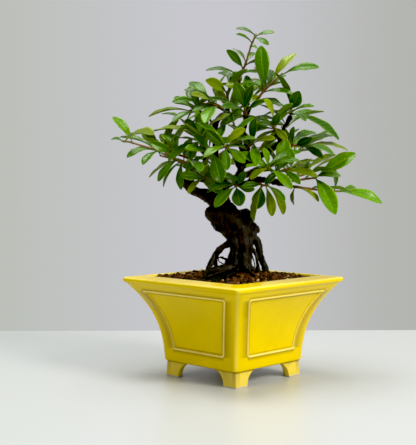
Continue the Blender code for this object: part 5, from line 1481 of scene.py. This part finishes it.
def pot_profile():
    """Rows of (half width, height, corner radius, carved) from the drain hole's edge round and back."""
    rows = [(BASE_HALF - 2.2, BASE_TOP, FINE_CORNER, False)]
    rows += [(BASE_HALF - 0.9, BASE_TOP + 0.12, FINE_CORNER, False),
             (BASE_HALF - 0.2, BASE_TOP + 0.6, FINE_CORNER, False)]
    heights = [BASE_TOP + 1.4, 14.5, 16.5, 18.2]
    heights += [PANEL_LOW + step for step in BEAD_STEPS]
    heights += list(np.linspace(PANEL_LOW + BEAD_STEPS[-1] + 2, PANEL_HIGH - BEAD_STEPS[-1] - 2, 18))
    heights += [PANEL_HIGH - step for step in reversed(BEAD_STEPS)]
    heights += [67.4, WALL_TOP]
    rows += [(wall_half(height), height, FINE_CORNER, True) for height in heights]
    rows += [(RIM_HALF - inset, height, FINE_CORNER, False) for inset, height in LIP]
    rows += [(inner_half(height), height, INNER_RADIUS, False) for height in INNER_HEIGHTS]
    return rows


def glaze_marks(place):
    """How thin the glaze is at a place on the pot (on the corners and the lip also a painted highlight),
    how much painted shade lies there, and whether the clay is bare.
    """
    local = Matrix.Rotation(-POT_TURN, 3, "Z") @ place
    wide = max(abs(local.x), abs(local.y))
    along = wide - min(abs(local.x), abs(local.y))
    thin = 0.0
    painted_shade = 0.0
    if place.z > BASE_TOP + 1:
        half = wall_half(min(place.z, RIM_EDGE))
        if wide > half - 1.5 and place.z < WALL_TOP:
            inside = panel_inside(half, along, place.z)
            thin = math.exp(-(inside / 0.62) ** 2)
            # Painted shade: dark lines on either side of the bead
            painted_shade = math.exp(-((abs(inside) - 1.25) / 0.45) ** 2)
        # Along the vertical corners: thin glaze and a painted highlight
        thin = max(thin, 0.3 * math.exp(-(along / 1.5) ** 2) * (wide > half - 3))
    if wide > RIM_HALF - 2.0:
        # The lip's upper edge: thin glaze and a painted highlight
        thin = max(thin, 0.5 * math.exp(-((place.z - 73.8) / 0.5) ** 2))
        # Painted shade under the lip
        painted_shade = max(painted_shade, 0.25 * math.exp(-((place.z - 70.0) / 0.6) ** 2))
    if place.z > 74:
        thin = max(thin, 0.5 * math.exp(-((wide - RIM_HALF + 12.6) / 0.7) ** 2))
    # Painted shade at the seam between the wall and the feet
    painted_shade = max(painted_shade, math.exp(-((place.z - BASE_TOP) / 0.5) ** 2))
    bare = 1.0 if abs(place.z - BASE_TOP) < 0.05 and wide < BASE_HALF - 2.5 else 0.0
    return min(1.0, thin), min(1.0, painted_shade), bare


def fine_foot(quarter):
    """A bracket foot: two curved wings that meet at the corner, with softened edges."""
    wings = []
    turn = Matrix.Rotation(quarter * math.pi / 2 + POT_TURN, 3, "Z")
    for side in (1, -1):
        wing_points, wing_faces = foot_wing(side)
        wings.append(mesh_object("foot", [turn @ point for point in wing_points], wing_faces))
    foot = united("foot", wings)
    bevel = foot.modifiers.new("soften", "BEVEL")
    bevel.width = 0.45 * MM
    bevel.segments = 2
    bevel.limit_method = "ANGLE"
    bevel.angle_limit = math.radians(40)
    return evaluated_copy(foot)


def dress_pot(used):
    """The glazed pot, with round corners, beads, a soft lip and its feet."""
    rows = pot_profile()
    rings = [fine_ring(*row) for row in rows]
    count = len(rings[0])
    for height in (FLOOR_TOP, BASE_TOP):
        rings.append(round_ring(DRAIN_RADIUS, height, count))
    points = [point for ring in rings for point in ring]
    faces = []
    for row in range(len(rings)):
        after_row = (row + 1) % len(rings)
        for i in range(count):
            after = (i + 1) % count
            faces.append((row * count + i, row * count + after,
                          after_row * count + after, after_row * count + i))
    body = mesh_object("pot_body", points, faces)
    piece = united("pot_glazed", [body] + [fine_foot(quarter) for quarter in range(4)])
    marks = [glaze_marks(vertex.co / MM) for vertex in piece.data.vertices]
    for index, name in enumerate(("thin", "painted_shade", "bare")):
        set_attribute(piece, name, "FLOAT", [mark[index] for mark in marks])
    install(piece, [used], "glaze", "pot")
    piece.data.set_sharp_from_angle(angle=math.radians(40))


# Stage

def area_light(name, place, target, size, power, colour):
    """A soft light at a place in metres, turned to a target."""
    data = bpy.data.lights.new(name, "AREA")
    data.shape = "DISK"
    data.size = size
    data.energy = power
    data.color = colour
    light = bpy.data.objects.new(name, data)
    bpy.context.scene.collection.objects.link(light)
    light.location = place
    light.rotation_euler = (Vector(target) - Vector(place)).to_track_quat("-Z", "Y").to_euler()


def make_stage():
    """Camera, light, a pale table top and the pale room behind it."""
    data = bpy.data.cameras.new("camera")
    data.sensor_width = SENSOR
    data.lens = FOCAL_SHARE * SENSOR
    data.clip_start = 0.05
    camera = bpy.data.objects.new("camera", data)
    bpy.context.scene.collection.objects.link(camera)
    camera.location = SHIFT + EYE * MM
    camera.rotation_euler = (math.pi / 2 + CAMERA_PITCH, 0, CAMERA_YAW)
    bpy.context.scene.camera = camera
    view = bpy.context.scene.view_settings
    view.view_transform = "Standard"
    view.use_curve_mapping = True
    view.curve_mapping.black_level = BLACK_LEVEL
    view.curve_mapping.update()

    corners = [(-TABLE_SIDE, TABLE_FRONT), (TABLE_SIDE, TABLE_FRONT), (TABLE_SIDE, TABLE_BACK),
               (-TABLE_SIDE, TABLE_BACK)]
    mesh = bpy.data.meshes.new("table")
    mesh.from_pydata([(x, y, 0) for x, y in corners], [], [(0, 1, 2, 3)])
    table = new_object("table", mesh)
    made, _, bsdf = shader("table_white", Roughness=0.35)
    bsdf.inputs["Base Color"].default_value = TABLE_COLOUR
    table.data.materials.append(made)

    world = bpy.data.worlds.new("room")
    world.use_nodes = True
    bpy.context.scene.world = world
    tree = world.node_tree
    background = tree.nodes["Background"]
    direction = tree.nodes.new("ShaderNodeTexCoord").outputs["Generated"]
    across, back, up = add(tree, "ShaderNodeSeparateXYZ", links={0: direction}).outputs
    wall = mixed(tree, remap(tree, across, -0.25, 0.02), ROOM["left wall"], ROOM["middle wall"])
    wall = mixed(tree, remap(tree, across, 0.02, 0.25), wall, ROOM["right wall"])
    front = mixed(tree, remap(tree, across, -0.8, 0.8), ROOM["front left"], ROOM["front right"])
    colour = mixed(tree, remap(tree, back, -0.1, 0.6), front, wall)
    colour = mixed(tree, remap(tree, up, 0.35, 0.95), colour, ROOM["ceiling"])
    tree.links.new(colour, background.inputs["Color"])
    background.inputs["Strength"].default_value = 1.0
    for name, settings in LIGHTS.items():
        area_light(name, *settings)


def main():
    """Dress the whole model."""
    make_stage()
    trunk = make_trunk()
    wood = search_tree([surface_of(trunk)])
    bpy.data.objects.remove(trunk)
    shoots = plan_shoots(wood)
    materials = [leaf_material(), twig_material()]
    for number, (name, (route, leaves)) in enumerate(shoots.items()):
        dress_shoot(name, number, route, leaves, materials)
    bark = bark_material()
    dress_trunk(bark)
    dress_thin_roots(bark)
    dress_grains(grain_material("soil_grain"))
    dress_bed(grain_material("soil_dark", SOIL_DARK))
    dress_moss_and_shade(moss_and_shade_material())
    dress_pot(glaze_material())
    for node, used in (("drain_screen", plain_material("black_net", (0.02, 0.02, 0.02), 0.6)),
                       ("screen_clip", plain_material("copper_wire", (0.45, 0.26, 0.15), 0.4, 1.0))):
        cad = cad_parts[node]
        cad.data.materials.clear()
        cad.data.materials.append(used)


main()
